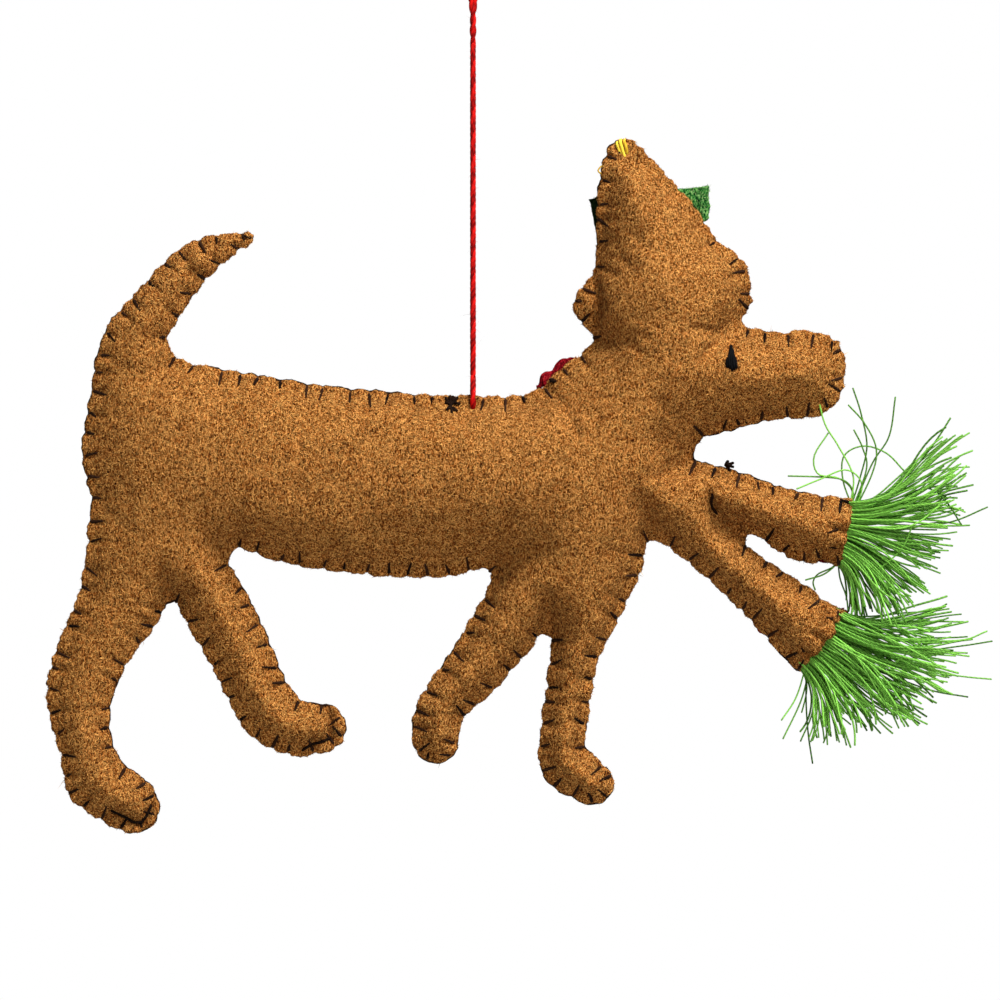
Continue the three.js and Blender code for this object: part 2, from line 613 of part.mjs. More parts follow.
// The hanging cord: its loop on the hook, its two strands, and the bridle stitched through the felt
function hangingCord() {
  const red = matte(0xc01a1c, 0.8);
  const half = strandSpacing / 2;
  const legY = felt + seamGap / 2 + clearance + cordDiameter / 2;
  const strandTop = -eyeDrop - clearance;
  const strandEnd = bridleRise + clearance - hangDrop;
  const eye = [
    [0, -half, -eyeDrop], [0, -half, -eyeDrop + eyeSwell / 3], [-eyeWidth / 4, -half / 2, -eyeDrop + eyeSwell],
    [-eyeWidth / 2, 0, -eyeWidth / 2], [0, 0, cordDiameter / 2], [eyeWidth / 2, 0, -eyeWidth / 2],
    [eyeWidth / 4, half / 2, -eyeDrop + eyeSwell], [0, half, -eyeDrop + eyeSwell / 3], [0, half, -eyeDrop],
  ];
  const bridle = [
    [0, -half, bridleRise - hangDrop], [0, -half, bridleRise * bridleMeetShare - hangDrop],
    [0, -legY, bridleRise * bridlePartShare - hangDrop], [0, -legY, cordDiameter - hangDrop], [0, 0, -hangDrop],
    [0, legY, cordDiameter - hangDrop], [0, legY, bridleRise * bridlePartShare - hangDrop],
    [0, half, bridleRise * bridleMeetShare - hangDrop], [0, half, bridleRise - hangDrop],
  ];
  const strand = (y) => [[0, y, strandTop], [0, y, (strandTop + strandEnd) / 2], [0, y, strandEnd]];
  return [
    node('hanging_eye', tube(eye, cordDiameter, 32), red),
    node('cord_strand_near', tube(strand(-half), cordDiameter, 10), red),
    node('cord_strand_far', tube(strand(half), cordDiameter, 10), red),
    node('cord_bridle', tube(bridle, cordDiameter, 24), red),
  ];
}

// Yellow thread wound over the tip of the hat, from one side to the other
function tipThread() {
  const tip = hat.at(1, tipThreadPlaceShare);
  const top = tip.z + hat.line.at(-1).y;
  const lift = clearance + tipThreadThickness / 2;
  const section = new THREE.Shape(new THREE.Path()
    .absellipse(0, 0, tipThreadWidth / 2, tipThreadThickness / 2, 0, 2 * Math.PI).getPoints(4));
  const leg = (side, drop) => new THREE.Vector3(
    tip.x, side * (outerHigh(tip.x, top - drop) + lift), top - drop - hangDrop);
  const points = [leg(-1, tipThreadDrop), leg(-1, tipThreadDrop / 2), leg(-1, 0),
    new THREE.Vector3(tip.x, 0, top + lift + clearance - hangDrop),
    leg(1, 0), leg(1, tipThreadDrop / 2), leg(1, tipThreadDrop)];
  const path = new THREE.CatmullRomCurve3(points);
  const geometry = new THREE.ExtrudeGeometry(section, { steps: 14, bevelEnabled: false, extrudePath: path });
  return node('hat_tip_thread', geometry, matte(0xc9a22a, 0.8));
}

// A solid for joining, from a closed geometry
function asSolid(geometry) {
  const bare = new THREE.BufferGeometry();
  bare.setAttribute('position', geometry.getAttribute('position'));
  if (geometry.index) bare.setIndex(geometry.index);
  const merged = mergeVertices(bare);
  return new wasm.Manifold(new wasm.Mesh({
    numProp: 3, vertProperties: merged.getAttribute('position').array, triVerts: new Uint32Array(merged.index.array),
  }));
}

function asGeometry(solid) {
  const mesh = solid.getMesh();
  const geometry = new THREE.BufferGeometry();
  geometry.setAttribute('position', new THREE.BufferAttribute(mesh.vertProperties, 3));
  geometry.setIndex(new THREE.BufferAttribute(mesh.triVerts, 1));
  geometry.computeVertexNormals();
  return geometry;
}

// A tassel: strands that leave the face of their bound head side by side and bend out into a fan,
// which runs from one angle to the other across the cuff, so that no two cross. Along and across
// are the cuff's directions.
function tassel(name, part, strandLength, fanAngles, shortShare) {
  const mouth = part.at(1, 0);
  const headWide = part.width - 2 * (seamWidth + panelWallShare * felt + clearance);
  const [along, across] = [[part.ax, part.az], [-part.az, part.ax]];
  const place = (a, u, v) => [mouth.x + a * along[0] + u * across[0], v,
    mouth.z + a * along[1] + u * across[1] - hangDrop];
  const position = [];
  const index = [];
  const rows = Math.floor(rowsShare * tasselHeadDepth / strandRowPitch);
  for (let row = 0; row <= rows; row++) {
    const v = (row - rows / 2) * strandRowPitch;
    const chord = chordShare * headWide * Math.sqrt(1 - (2 * v / tasselHeadDepth) ** 2);
    const columns = Math.floor(chord / strandPitch);
    for (let column = 0; column <= columns; column++) {
      const u = (column - columns / 2) * strandPitch;
      const fan = THREE.MathUtils.lerp(...fanAngles, 0.5 + u / headWide) - part.lean;
      const reach = strandLength * THREE.MathUtils.lerp(shortShare, 1, 0.5 + u / headWide);
      const spread = spreadShare * 2 * v / tasselHeadDepth;
      const first = position.length / 3;
      const end = 1 - unevenShare * (1 + Math.sin(2 * row + column)) / 2;
      const stops = [-strandRoot / reach, bendShare * end, end];
      stops.forEach((stop, s) => {
        const forward = Math.max(stop, 0);
        const a = reach * (stop - forward * forward / 2 + forward * forward / 2 * Math.cos(fan));
        const du = reach * forward * forward / 2 * Math.sin(fan);
        const dv = reach * forward * forward / 2 * spread;
        if (s === stops.length - 1) {
          position.push(...place(a, u + du, v + dv));
          return;
        }
        for (let corner = 0; corner < 3; corner++) {
          const angle = corner * 2 * Math.PI / 3 + (row % 2) * Math.PI / 3;
          const [cu, cv] = [strandThickness / 2 * Math.cos(angle), strandThickness / 2 * Math.sin(angle)];
          position.push(...place(a - cu * forward * Math.sin(fan), u + du + cu, v + dv + cv));
        }
      });
      index.push(first, first + 1, first + 2);
      for (let corner = 0; corner < 3; corner++) {
        const [a, b] = [first + corner, first + (corner + 1) % 3];
        index.push(a, b + 3, b, a, a + 3, b + 3, a + 3, first + 6, b + 3);
      }
    }
  }
  const strands = new THREE.BufferGeometry();
  strands.setAttribute('position', new THREE.Float32BufferAttribute(position, 3));
  strands.setIndex(index);
  const headSection = new THREE.Shape(new THREE.Path()
    .absellipse(0, 0, headWide / 2, tasselHeadDepth / 2, 0, 2 * Math.PI).getPoints(5));
  const headBlock = new THREE.ExtrudeGeometry(headSection, { depth: tasselHeadLength, bevelEnabled: false });
  const basis = new THREE.Matrix4().makeBasis(
    new THREE.Vector3(across[0], 0, across[1]), new THREE.Vector3(0, -1, 0), new THREE.Vector3(along[0], 0, along[1]));
  headBlock.applyMatrix4(basis);
  const root = place(-tasselHeadLength, 0, 0);
  headBlock.translate(...root);
  return node(name, asGeometry(asSolid(headBlock).add(asSolid(strands))), matte(0x3f9a2c, 0.85));
}

const group = new THREE.Group();
group.add(...hangingCord(), ...feltPanels(), ...stuffing(), ...eyes(), ...trimmings(), tipThread(),
  tassel('tassel_upper', upperScarf, upperStrandLength, upperFan, upperShortShare),
  tassel('tassel_lower', lowerScarf, lowerStrandLength, lowerFan, lowerShortShare));

export default group;
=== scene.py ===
import json
import math

import bpy
import numpy as np
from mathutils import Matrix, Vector, noise
from mathutils.bvhtree import BVHTree
from mathutils.kdtree import KDTree


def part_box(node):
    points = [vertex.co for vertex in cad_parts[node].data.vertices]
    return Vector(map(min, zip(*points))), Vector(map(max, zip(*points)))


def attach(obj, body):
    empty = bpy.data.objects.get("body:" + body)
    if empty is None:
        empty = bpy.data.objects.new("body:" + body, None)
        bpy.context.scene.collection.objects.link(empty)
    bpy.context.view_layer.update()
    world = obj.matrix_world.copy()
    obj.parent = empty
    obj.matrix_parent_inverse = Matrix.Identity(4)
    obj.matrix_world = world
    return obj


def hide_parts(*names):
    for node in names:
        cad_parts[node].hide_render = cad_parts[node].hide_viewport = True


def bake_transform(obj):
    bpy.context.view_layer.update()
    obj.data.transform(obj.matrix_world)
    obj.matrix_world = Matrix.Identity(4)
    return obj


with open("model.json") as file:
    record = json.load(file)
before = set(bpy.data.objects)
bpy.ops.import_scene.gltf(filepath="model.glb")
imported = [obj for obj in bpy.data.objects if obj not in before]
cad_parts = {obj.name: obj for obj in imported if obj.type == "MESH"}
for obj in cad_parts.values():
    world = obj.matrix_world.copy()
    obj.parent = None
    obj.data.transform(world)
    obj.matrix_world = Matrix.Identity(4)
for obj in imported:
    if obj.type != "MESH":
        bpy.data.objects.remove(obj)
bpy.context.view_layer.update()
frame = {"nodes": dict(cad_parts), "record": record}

# A stuffed felt dog that hangs from a red cord. Metres: +Z is up, +X is the way the dog walks,
# and -Y faces the camera. The origin is the inside top of the cord's loop.

JOINTS = {joint["name"]: joint for joint in frame["record"]["behaviour"]["joints"]}
SWAY_Z = JOINTS["sway"]["pos_m"][2]
TURN_Z = JOINTS["turn"]["pos_m"][2]
HOLE = Vector(JOINTS["tilt"]["pos_m"])

# The photograph's scale: the size of a pixel, and the pixel where the cord enters the felt
PIXEL = 0.00016
HOLE_PIXEL = (473, 406)
IMAGE_PIXELS = 1000

# Felt and stuffing
FELT = 0.001
PANEL_GAP = 0.0003
SEAM_WIDTH = 0.0013
POCKET_DEPTH = 0.003
REMESH_EDGE = 0.0008
FACES_KEPT = 0.6
PUFF_LIMIT = 0.0009

# Threads
STITCH_PITCH = 0.0035
STEPS_PER_STITCH = 14
STITCH_DEPTH = 0.0019
STITCH_THREAD = 0.00046
RIM_THREAD = 0.00042
TASSEL_THREAD = 0.00033
EYE_THREAD = 0.00046
HAIR = 0.000088
HAIR_LENGTH = 0.00074

# Cord
CORD = 0.00075
PLY_WIDTH_SHARE = 0.88
PLY_AWAY_SHARE = 0.21
PLY_PITCH = 0.0038
STEPS_PER_TURN = 14

CHANCE = np.random.default_rng(7)
noise.seed_set(7)


# A place on the middle plane, from a pixel of the photograph
def place(pixel_x, pixel_y, y=0.0):
    return Vector((
        (pixel_x - HOLE_PIXEL[0]) * PIXEL, y, HOLE.z - (pixel_y - HOLE_PIXEL[1]) * PIXEL))


# Blender's hand tools

def choose(piece):
    bpy.ops.object.select_all(action="DESELECT")
    piece.select_set(True)
    bpy.context.view_layer.objects.active = piece


def edit(piece):
    choose(piece)
    bpy.ops.object.mode_set(mode="EDIT")
    bpy.ops.mesh.select_all(action="SELECT")


def leave_edit():
    bpy.ops.object.mode_set(mode="OBJECT")


def apply_modifier(piece, kind, **settings):
    choose(piece)
    bpy.ops.object.modifier_add(type=kind)
    modifier = piece.modifiers[-1]
    for key, value in settings.items():
        setattr(modifier, key, value)
    bpy.ops.object.modifier_apply(modifier=modifier.name)


def delete_faces(piece, unwanted):
    """Deletes the faces for which unwanted(normal) is true."""
    edit(piece)
    bpy.ops.mesh.select_mode(type="FACE")
    bpy.ops.mesh.select_all(action="DESELECT")
    leave_edit()
    for face in piece.data.polygons:
        face.select = unwanted(face.normal)
    bpy.ops.object.mode_set(mode="EDIT")
    bpy.ops.mesh.delete(type="FACE")
    leave_edit()


def smooth_shade(piece):
    choose(piece)
    bpy.ops.object.shade_smooth()


def copy_node(node, name):
    source = frame["nodes"][node]
    piece = source.copy()
    piece.data = source.data.copy()
    piece.name = name
    piece.parent = None
    bpy.context.scene.collection.objects.link(piece)
    piece.hide_render = False
    piece.hide_viewport = False
    piece.data.materials.clear()
    edit(piece)
    bpy.ops.mesh.remove_doubles(threshold=PANEL_GAP / 100)
    leave_edit()
    return piece


def points_of(piece):
    points = np.empty(3 * len(piece.data.vertices))
    piece.data.vertices.foreach_get("co", points)
    return points.reshape(-1, 3)


def set_points(piece, points):
    piece.data.vertices.foreach_set("co", points.ravel())
    piece.data.update()


# Materials

def linear(value):
    return ((value / 255 + 0.055) / 1.055) ** 2.4 if value > 10 else value / 255 / 12.92


def hue(red, green, blue):
    """A colour from the photograph's 0 to 255 values."""
    return (linear(red), linear(green), linear(blue), 1)


class Cloth:
    """A material's nodes, added one after another."""

    def __init__(self, name, roughness):
        self.material = bpy.data.materials.new(name)
        self.material.use_nodes = True
        self.nodes = self.material.node_tree.nodes
        self.links = self.material.node_tree.links
        self.shader = self.nodes["Principled BSDF"]
        self.shader.inputs["Roughness"].default_value = roughness
        self.shader.inputs["Specular IOR Level"].default_value = 0.05
        self.coordinates = self.nodes.new("ShaderNodeTexCoord").outputs["Object"]

    def feed(self, socket, value):
        if isinstance(value, bpy.types.NodeSocket):
            self.links.new(value, socket)
        else:
            socket.default_value = value

    def add(self, kind, inputs=None, **settings):
        node = self.nodes.new(kind)
        for key, value in settings.items():
            setattr(node, key, value)
        for key, value in (inputs or {}).items():
            self.feed(node.inputs[key], value)
        return node

    def attribute(self, name):
        return self.add("ShaderNodeAttribute", attribute_name=name).outputs["Fac"]

    def stretched(self, stretch, turn):
        return self.add("ShaderNodeMapping", {
            "Vector": self.coordinates, "Rotation": turn, "Scale": stretch}).outputs["Vector"]

    def clouds(self, scale, detail=3.0, roughness=0.55, vector=None):
        return self.add("ShaderNodeTexNoise", {
            "Vector": vector or self.coordinates, "Scale": scale, "Detail": detail,
            "Roughness": roughness}).outputs["Fac"]

    def steps(self, value, stops):
        ramp = self.add("ShaderNodeValToRGB", {"Fac": value})
        while len(ramp.color_ramp.elements) < len(stops):
            ramp.color_ramp.elements.new(0.5)
        for element, (position, color) in zip(ramp.color_ramp.elements, stops):
            element.position = position
            element.color = color if isinstance(color, tuple) else (color, color, color, 1)
        return ramp.outputs["Color"]

    def mix(self, a, b, factor, blend="MIX"):
        node = self.add("ShaderNodeMix", data_type="RGBA", blend_type=blend)
        for number, value in ((0, factor), (6, a), (7, b)):
            self.feed(node.inputs[number], value)
        return node.outputs[2]

    def math(self, operation, a, b=0.0):
        node = self.add("ShaderNodeMath", operation=operation)
        for socket, value in zip(node.inputs, (a, b)):
            self.feed(socket, value)
        return node.outputs["Value"]

    def painted_shade_behind(self, color, ends):
        """Painted shade: the colour, nearly black up to one place along X and unchanged from the other on.
        """
        across = self.add("ShaderNodeSeparateXYZ", {"Vector": self.coordinates}).outputs["X"]
        share = self.math("DIVIDE", self.math("SUBTRACT", across, ends[0]), ends[1] - ends[0])
        return self.mix(color, self.steps(share, ((0.0, 0.08), (1.0, 1.0))), 1.0, "MULTIPLY")

    def finish(self, color, height=None, depth=0.0, strength=1.0):
        self.feed(self.shader.inputs["Base Color"], color)
        if height is not None:
            bump = self.add("ShaderNodeBump", {
                "Height": height, "Distance": depth, "Strength": strength})
            self.links.new(bump.outputs["Normal"], self.shader.inputs["Normal"])
        return self.material


# How fine the felt's fibres, grain and changes of tone are, how the fibres are drawn out, and how much
# of the felt's relief is theirs
FIBRE_SCALE = 4600.0
FIBRE_STRETCH = (1.0, 0.7, 0.3)
GRAIN_SCALE = 4400.0
PATCH_SCALE = 170.0
WEAVE_SHARE = 0.65
FELT_RELIEF = 0.00018


def felt_finish(name, dark, middle, light, fleck, ends=None):
    """Matted wool: fine fibres that lie all ways over darker gaps, and slow changes of tone; given ends,
    painted shade that turns it nearly black towards one end along X.
    """
    cloth = Cloth(name, 1.0)
    lie = ((0.3, 0.5, 0.2), (0.1, 1.6, 0.9), (0.7, -0.5, -0.5))
    fibres = [
        cloth.clouds(FIBRE_SCALE, 1.0, 0.5, cloth.stretched(FIBRE_STRETCH, turn)) for turn in lie]
    weave = cloth.math("MAXIMUM", cloth.math("MAXIMUM", fibres[0], fibres[1]), fibres[2])
    grain = cloth.clouds(GRAIN_SCALE, 1.0, 0.5)
    height = cloth.math(
        "ADD", cloth.math("MULTIPLY", weave, WEAVE_SHARE), cloth.math("MULTIPLY", grain, 1 - WEAVE_SHARE))
    tone = cloth.steps(height, ((0.42, dark), (0.5, middle), (0.58, light), (0.68, fleck)))
    patches = cloth.steps(cloth.clouds(PATCH_SCALE, 2.0, 0.5), ((0.3, 0.88), (0.7, 1.03)))
    color = cloth.mix(tone, patches, 1.0, "MULTIPLY")
    if ends:
        # Painted shade: nearly black behind the given place along X
        color = cloth.painted_shade_behind(color, ends)
    return cloth.finish(color, height, FELT_RELIEF, 0.9)


# Painted shade: the hat's band is painted nearly black at its back end, where the hat shades it, between
# these two places along X
BAND_SHADE_END = (place(601, 0).x, place(611, 0).x)


def thread_finish(name, dark, light, pitch, roughness=0.6):
    """Twisted thread: plies that slant round it, with the grooves between them as bump relief and also as
    painted shade, and each strand a shade of its own.
    """
    cloth = Cloth(name, roughness)
    along = cloth.math("DIVIDE", cloth.attribute("along"), pitch)
    turns = cloth.math("ADD", along, cloth.attribute("around"))
    ply = cloth.math("ABSOLUTE", cloth.math("SUBTRACT", cloth.math("FRACT", turns), 0.5))
    shade = cloth.math("MULTIPLY", cloth.attribute("shade"), 0.75)
    # Painted shade: the grooves between the plies are darker in the colour, besides their bump
    tone = cloth.math("ADD", cloth.math("MULTIPLY", ply, 0.7), shade)
    return cloth.finish(cloth.steps(tone, ((0.1, dark), (0.9, light))), ply, 0.0001, 0.5)


BROWN = felt_finish("brown_felt", hue(24, 6, 0), hue(76, 36, 8), hue(142, 82, 30), hue(206, 142, 76))
GREEN_FELT = felt_finish(
    "green_felt", hue(2, 18, 6), hue(10, 54, 20), hue(46, 116, 46), hue(130, 180, 100), BAND_SHADE_END)
RED_FELT = felt_finish("dark_red_felt", hue(40, 0, 6), hue(92, 4, 16), hue(128, 10, 22), hue(170, 40, 44))
DARK_THREAD = thread_finish("dark_thread", hue(10, 4, 2), hue(48, 28, 16), 0.0009, 0.8)
BLACK_THREAD = thread_finish("black_thread", hue(2, 2, 3), hue(11, 11, 13), 0.0009, 0.7)
GREEN_THREAD = thread_finish("green_thread", hue(4, 48, 0), hue(136, 204, 82), 0.0008, 0.5)
YELLOW_THREAD = thread_finish("yellow_thread", hue(176, 124, 14), hue(246, 212, 70), 0.001, 0.5)
RED_THREAD = thread_finish("red_thread", hue(92, 0, 2), hue(206, 20, 16), 0.0012, 0.6)


def hair_finish(name, dark, light, ends=None):
    cloth = Cloth(name, 0.9)
    color = cloth.steps(cloth.attribute("shade"), ((0.0, dark), (1.0, light)))
    # Painted shade: with ends given, the fibres too turn nearly black behind a place along X
    return cloth.finish(cloth.painted_shade_behind(color, ends) if ends else color)


BROWN_HAIR = hair_finish("brown_wool_hair", hue(40, 13, 0), hue(242, 176, 94))
GREEN_HAIR = hair_finish("green_wool_hair", hue(8, 50, 14), hue(156, 196, 120), BAND_SHADE_END)
RED_HAIR = hair_finish("red_wool_hair", hue(90, 0, 6), hue(190, 30, 34))


def new_piece(name, mesh, material):
    piece = bpy.data.objects.new(name, mesh)
    bpy.context.scene.collection.objects.link(piece)
    mesh.materials.append(material)
    return piece


def tangents(path):
    tangent = np.gradient(path, axis=0)
    return tangent / np.linalg.norm(tangent, axis=1)[:, None]


def lengths_along(path):
    """How far along the path each of its points lies."""
    return np.concatenate([[0], np.cumsum(np.linalg.norm(np.diff(path, axis=0), axis=1))])


# Threads: closed tubes along paths, as one mesh. Each path has its own radius and shade.
def tubes(name, paths, radii, sides, material, shades=None):
    vertices, faces, along, around, shade = [], [], [], [], []
    angles = np.arange(sides) * 2 * math.pi / sides
    for number, path in enumerate(paths):
        path = np.asarray(path, dtype=float)
        count = len(path)
        length = lengths_along(path)
        tangent = tangents(path)
        radius = np.broadcast_to(radii[number] if hasattr(radii, "__len__") else radii, count)
        side = np.cross(tangent[0], (0.31, 0.92, 0.24))
        rings = []
        for i in range(count):
            side = side - tangent[i] * side.dot(tangent[i])
            side /= np.linalg.norm(side)
            other = np.cross(tangent[i], side)
            ring = np.outer(np.cos(angles), side) + np.outer(np.sin(angles), other)
            rings.append(path[i] + radius[i] * ring)
        start = len(vertices)
        vertices.extend(np.concatenate(rings))
        vertices.extend([path[0] - tangent[0] * radius[0] / 2, path[-1] + tangent[-1] * radius[-1] / 2])
        for i in range(count - 1):
            a, b = start + i * sides, start + (i + 1) * sides
            faces.extend((a + k, a + (k + 1) % sides, b + (k + 1) % sides, b + k) for k in range(sides))
        first, last = start + count * sides, start + (count - 1) * sides
        faces.extend((first, start + (k + 1) % sides, start + k) for k in range(sides))
        faces.extend((first + 1, last + k, last + (k + 1) % sides) for k in range(sides))
        along.extend(np.repeat(length, sides))
        along.extend((0.0, length[-1]))
        around.extend(np.tile(np.abs(np.arange(sides) * 2 / sides - 1), count))
        around.extend((0.0, 0.0))
        tint = 0.5 if shades is None else shades[number]
        shade.extend([tint] * (count * sides + 2))
    mesh = bpy.data.meshes.new(name)
    mesh.from_pydata([tuple(v) for v in vertices], [], faces)
    for label, values in (("along", along), ("around", around), ("shade", shade)):
        layer = mesh.attributes.new(label, "FLOAT", "POINT")
        layer.data.foreach_set("value", np.array(values, dtype=np.float32))
    piece = new_piece(name, mesh, material)
    smooth_shade(piece)
    return piece


# A smooth path through a few chosen points
def curved(points, count):
    points = np.array([tuple(p) for p in points], dtype=float)
    padded = np.vstack([2 * points[0] - points[1], points, 2 * points[-1] - points[-2]])
    out = []
    for t in np.linspace(0, len(points) - 1, count):
        i = min(int(t), len(points) - 2)
        u = t - i
        a, b, c, d = padded[i:i + 4]
        out.append(0.5 * ((2 * b) + (c - a) * u + (2 * a - 5 * b + 4 * c - d) * u * u
                          + (3 * b - a - 3 * c + d) * u * u * u))
    return np.array(out)


def even(path, spacing):
    """The same path with points at an even spacing."""
    path = np.asarray(path)
    length = lengths_along(path)
    count = max(int(round(length[-1] / spacing)), 2)
    marks = np.linspace(0, length[-1], count + 1)
    return np.column_stack([np.interp(marks, length, path[:, k]) for k in range(3)])


# Fine loose fibres as flat slivers of three faces: a root, a bend and a point
def hairs(name, roots, directions, normals, lengths, width, material, dim=1.0):
    count = len(roots)
    across = np.cross(directions, normals + CHANCE.normal(scale=0.5, size=(count, 3)))
    across /= np.linalg.norm(across, axis=1)[:, None]
    bend = CHANCE.normal(scale=0.3, size=(count, 3)) * lengths[:, None]
    bend -= normals * np.sum(bend * normals, axis=1)[:, None] * 0.8
    middle = roots + directions * lengths[:, None] * 0.5
    tip = roots + directions * lengths[:, None] + bend
    half = across * width / 2
    corners = [roots - half, roots + half, middle - half, middle + half, tip]
    vertices = np.stack(corners, axis=1).reshape(-1, 3)
    base = 5 * np.arange(count)[:, None]
    faces = np.concatenate([base + [0, 1, 3], base + [0, 3, 2], base + [2, 3, 4]])
    mesh = bpy.data.meshes.new(name)
    mesh.vertices.add(len(vertices))
    mesh.vertices.foreach_set("co", vertices.ravel())
    mesh.loops.add(3 * len(faces))
    mesh.loops.foreach_set("vertex_index", faces.ravel())
    mesh.polygons.add(len(faces))
    mesh.polygons.foreach_set("loop_start", 3 * np.arange(len(faces)))
    mesh.update(calc_edges=True)
    # Each fibre's tone is random, times dim, which paints shade on fibres in creases and at stitches
    shades = np.repeat(CHANCE.beta(0.7, 0.8, count) * dim, 5).astype(np.float32)
    mesh.attributes.new("shade", "FLOAT", "POINT").data.foreach_set("value", shades)
    return new_piece(name, mesh, material)


# The camera stands where the photograph's stood: level, square to the plain side
CAMERA_AWAY = 1.3


def photo_camera():
    centre = place(IMAGE_PIXELS / 2, IMAGE_PIXELS / 2)
    bpy.ops.object.camera_add(location=(centre.x, -CAMERA_AWAY, centre.z), rotation=(math.pi / 2, 0, 0))
    camera = bpy.context.object
    camera.data.lens = camera.data.sensor_width * CAMERA_AWAY / (IMAGE_PIXELS * PIXEL)
    bpy.context.scene.camera = camera


photo_camera()


# The hanging cord. Its route repeats the solids' points: the loop, then a strand on each side of
# the middle plane down to the hole.
EYE_WIDTH = 0.005
EYE_SWELL = 0.013
STRAND_APART = 0.00115
BRIDLE_RISE = HOLE.z - TURN_Z


def ply_pair(centre, phase=0.0):
    """Two plies wound round a centre line."""
    centre = even(centre, PLY_PITCH / STEPS_PER_TURN)
    tangent = tangents(centre)
    length = lengths_along(centre)
    away = CORD * PLY_AWAY_SHARE
    out = []
    for start in (phase, phase + math.pi):
        angle = start + 2 * math.pi * length / PLY_PITCH
        side = np.cross(tangent, (0, 1, 0))
        short = np.linalg.norm(side, axis=1) < 0.2
        side[short] = np.cross(tangent[short], (0, 0, 1))
        side /= np.linalg.norm(side, axis=1)[:, None]
        other = np.cross(tangent, side)
        out.append(centre + away * (np.cos(angle)[:, None] * side + np.sin(angle)[:, None] * other))
    return out


def plied_cord(name, centre, phase=0.0):
    pair = ply_pair(centre, phase)
    # Painted shade: the two plies are one red, and one is painted darker to stand in for the shaded grooves
    # between them
    piece = tubes(name, pair, CORD / 2 * PLY_WIDTH_SHARE, 8, RED_THREAD, (0.22, 0.78))
    roots = np.concatenate(pair)
    roots = roots[CHANCE.integers(len(roots), size=int(len(roots) * 1.2))]
    out = CHANCE.normal(size=roots.shape)
    out /= np.linalg.norm(out, axis=1)[:, None]
    lengths = CHANCE.uniform(0.0003, 0.0006, len(roots))
    fuzz = hairs(name + "_fuzz", roots, out, CHANCE.normal(size=out.shape), lengths, HAIR * 0.4, RED_HAIR)
    return piece, fuzz


def hanging_cord():
    half = STRAND_APART / 2
    low = SWAY_Z
    eye = curved([
        (0, -half, low), (0, -half, low + EYE_SWELL / 3), (-EYE_WIDTH / 4, -half / 2, low + EYE_SWELL),
        (-EYE_WIDTH / 2, 0, -EYE_WIDTH / 2), (0, 0, CORD / 2), (EYE_WIDTH / 2, 0, -EYE_WIDTH / 2),
        (EYE_WIDTH / 4, half / 2, low + EYE_SWELL), (0, half, low + EYE_SWELL / 3), (0, half, low)], 120)
    loop, loop_fuzz = plied_cord("cord_loop", eye)
    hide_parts("hanging_eye")
    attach(loop, "hook_loop")
    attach(loop_fuzz, "hook_loop")
    over_felt = FELT + PANEL_GAP + CORD / 2
    for side, name, node in ((-1, "cord_near", "cord_strand_near"), (1, "cord_far", "cord_strand_far")):
        route = curved([
            (0, 0, HOLE.z - CORD), (0, side * over_felt, HOLE.z),
            (0, side * over_felt, HOLE.z - BRIDLE_RISE * 0.35), (0, side * half, HOLE.z - BRIDLE_RISE * 0.8),
            (0, side * half, TURN_Z), (0, side * half, TURN_Z + 0.3 * (low - TURN_Z)),
            (0, side * half, TURN_Z + 0.65 * (low - TURN_Z)), (0, side * half, low)], 120)
        strand, fuzz = plied_cord(name, route, 0.8 * side)
        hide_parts(node, "cord_bridle")
        for piece in (strand, fuzz):
            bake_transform(piece)


hanging_cord()


# The felt body: both panels as one stuffed skin
WADS = [name for name in frame["nodes"] if name.startswith("stuffing_")]


# Where the felt's outline leaves the solids', one after another: from a pixel on the solids to one of
# the photograph, and how far about it the felt follows
NOTCHES = (
    ((167, 618), (170, 605), 0.0030),
    ((170, 605), (171, 599), 0.0012),
    ((539, 647), (545, 635), 0.0026),
    ((546, 639), (547, 634), 0.0011),
    ((482, 584), (492, 573), 0.0032),
    ((484, 599), (489, 598), 0.0035),
    ((246, 559), (230, 549), 0.0046),
    ((168, 372), (168, 361), 0.0040),
    ((687, 447), (692, 449), 0.0030),
    ((708, 430), (707, 434), 0.0035),
    ((724, 428), (724, 432), 0.0035),
    ((752, 338), (747, 327), 0.0035),
    ((790, 331), (790, 334), 0.0040),
    ((750, 543), (737, 530), 0.0034),
    ((133, 656), (127, 652), 0.0055),
    ((470, 655), (471, 655), 0.0080),
    ((473, 705), (468, 706), 0.0040),
    ((225, 640), (229, 639), 0.0080),
    ((150, 290), (154, 292), 0.0090),
    ((640, 568), (644, 567), 0.0035),
    ((205, 372), (205, 368), 0.0050),
    ((775, 424), (775, 421), 0.0040),
    ((825, 492), (825, 495), 0.0040),
    ((836, 346), (839, 343), 0.0030),
    ((612, 625), (608, 624), 0.0055),
    ((566, 376), (563, 371), 0.0040),
    ((612, 152), (609, 148), 0.0035),
    ((603, 190), (599, 190), 0.0070),
    ((603, 242), (598, 242), 0.0055),
    ((580, 305), (579, 305), 0.0040),
    ((72, 790), (69, 793), 0.0040),
    ((148, 818), (152, 821), 0.0040),
    ((86, 545), (90, 545), 0.0060),
    ((92, 410), (89, 410), 0.0100),
)
SLIT = (place(736, 530), place(800, 570))


def nearness(points, spot, reach):
    """How near each point is to a spot, seen square to the middle plane: 1 on it, fading over reach."""
    away = (points[:, 0] - spot[0]) ** 2 + (points[:, 2] - spot[2]) ** 2
    return np.exp(-away / reach ** 2)


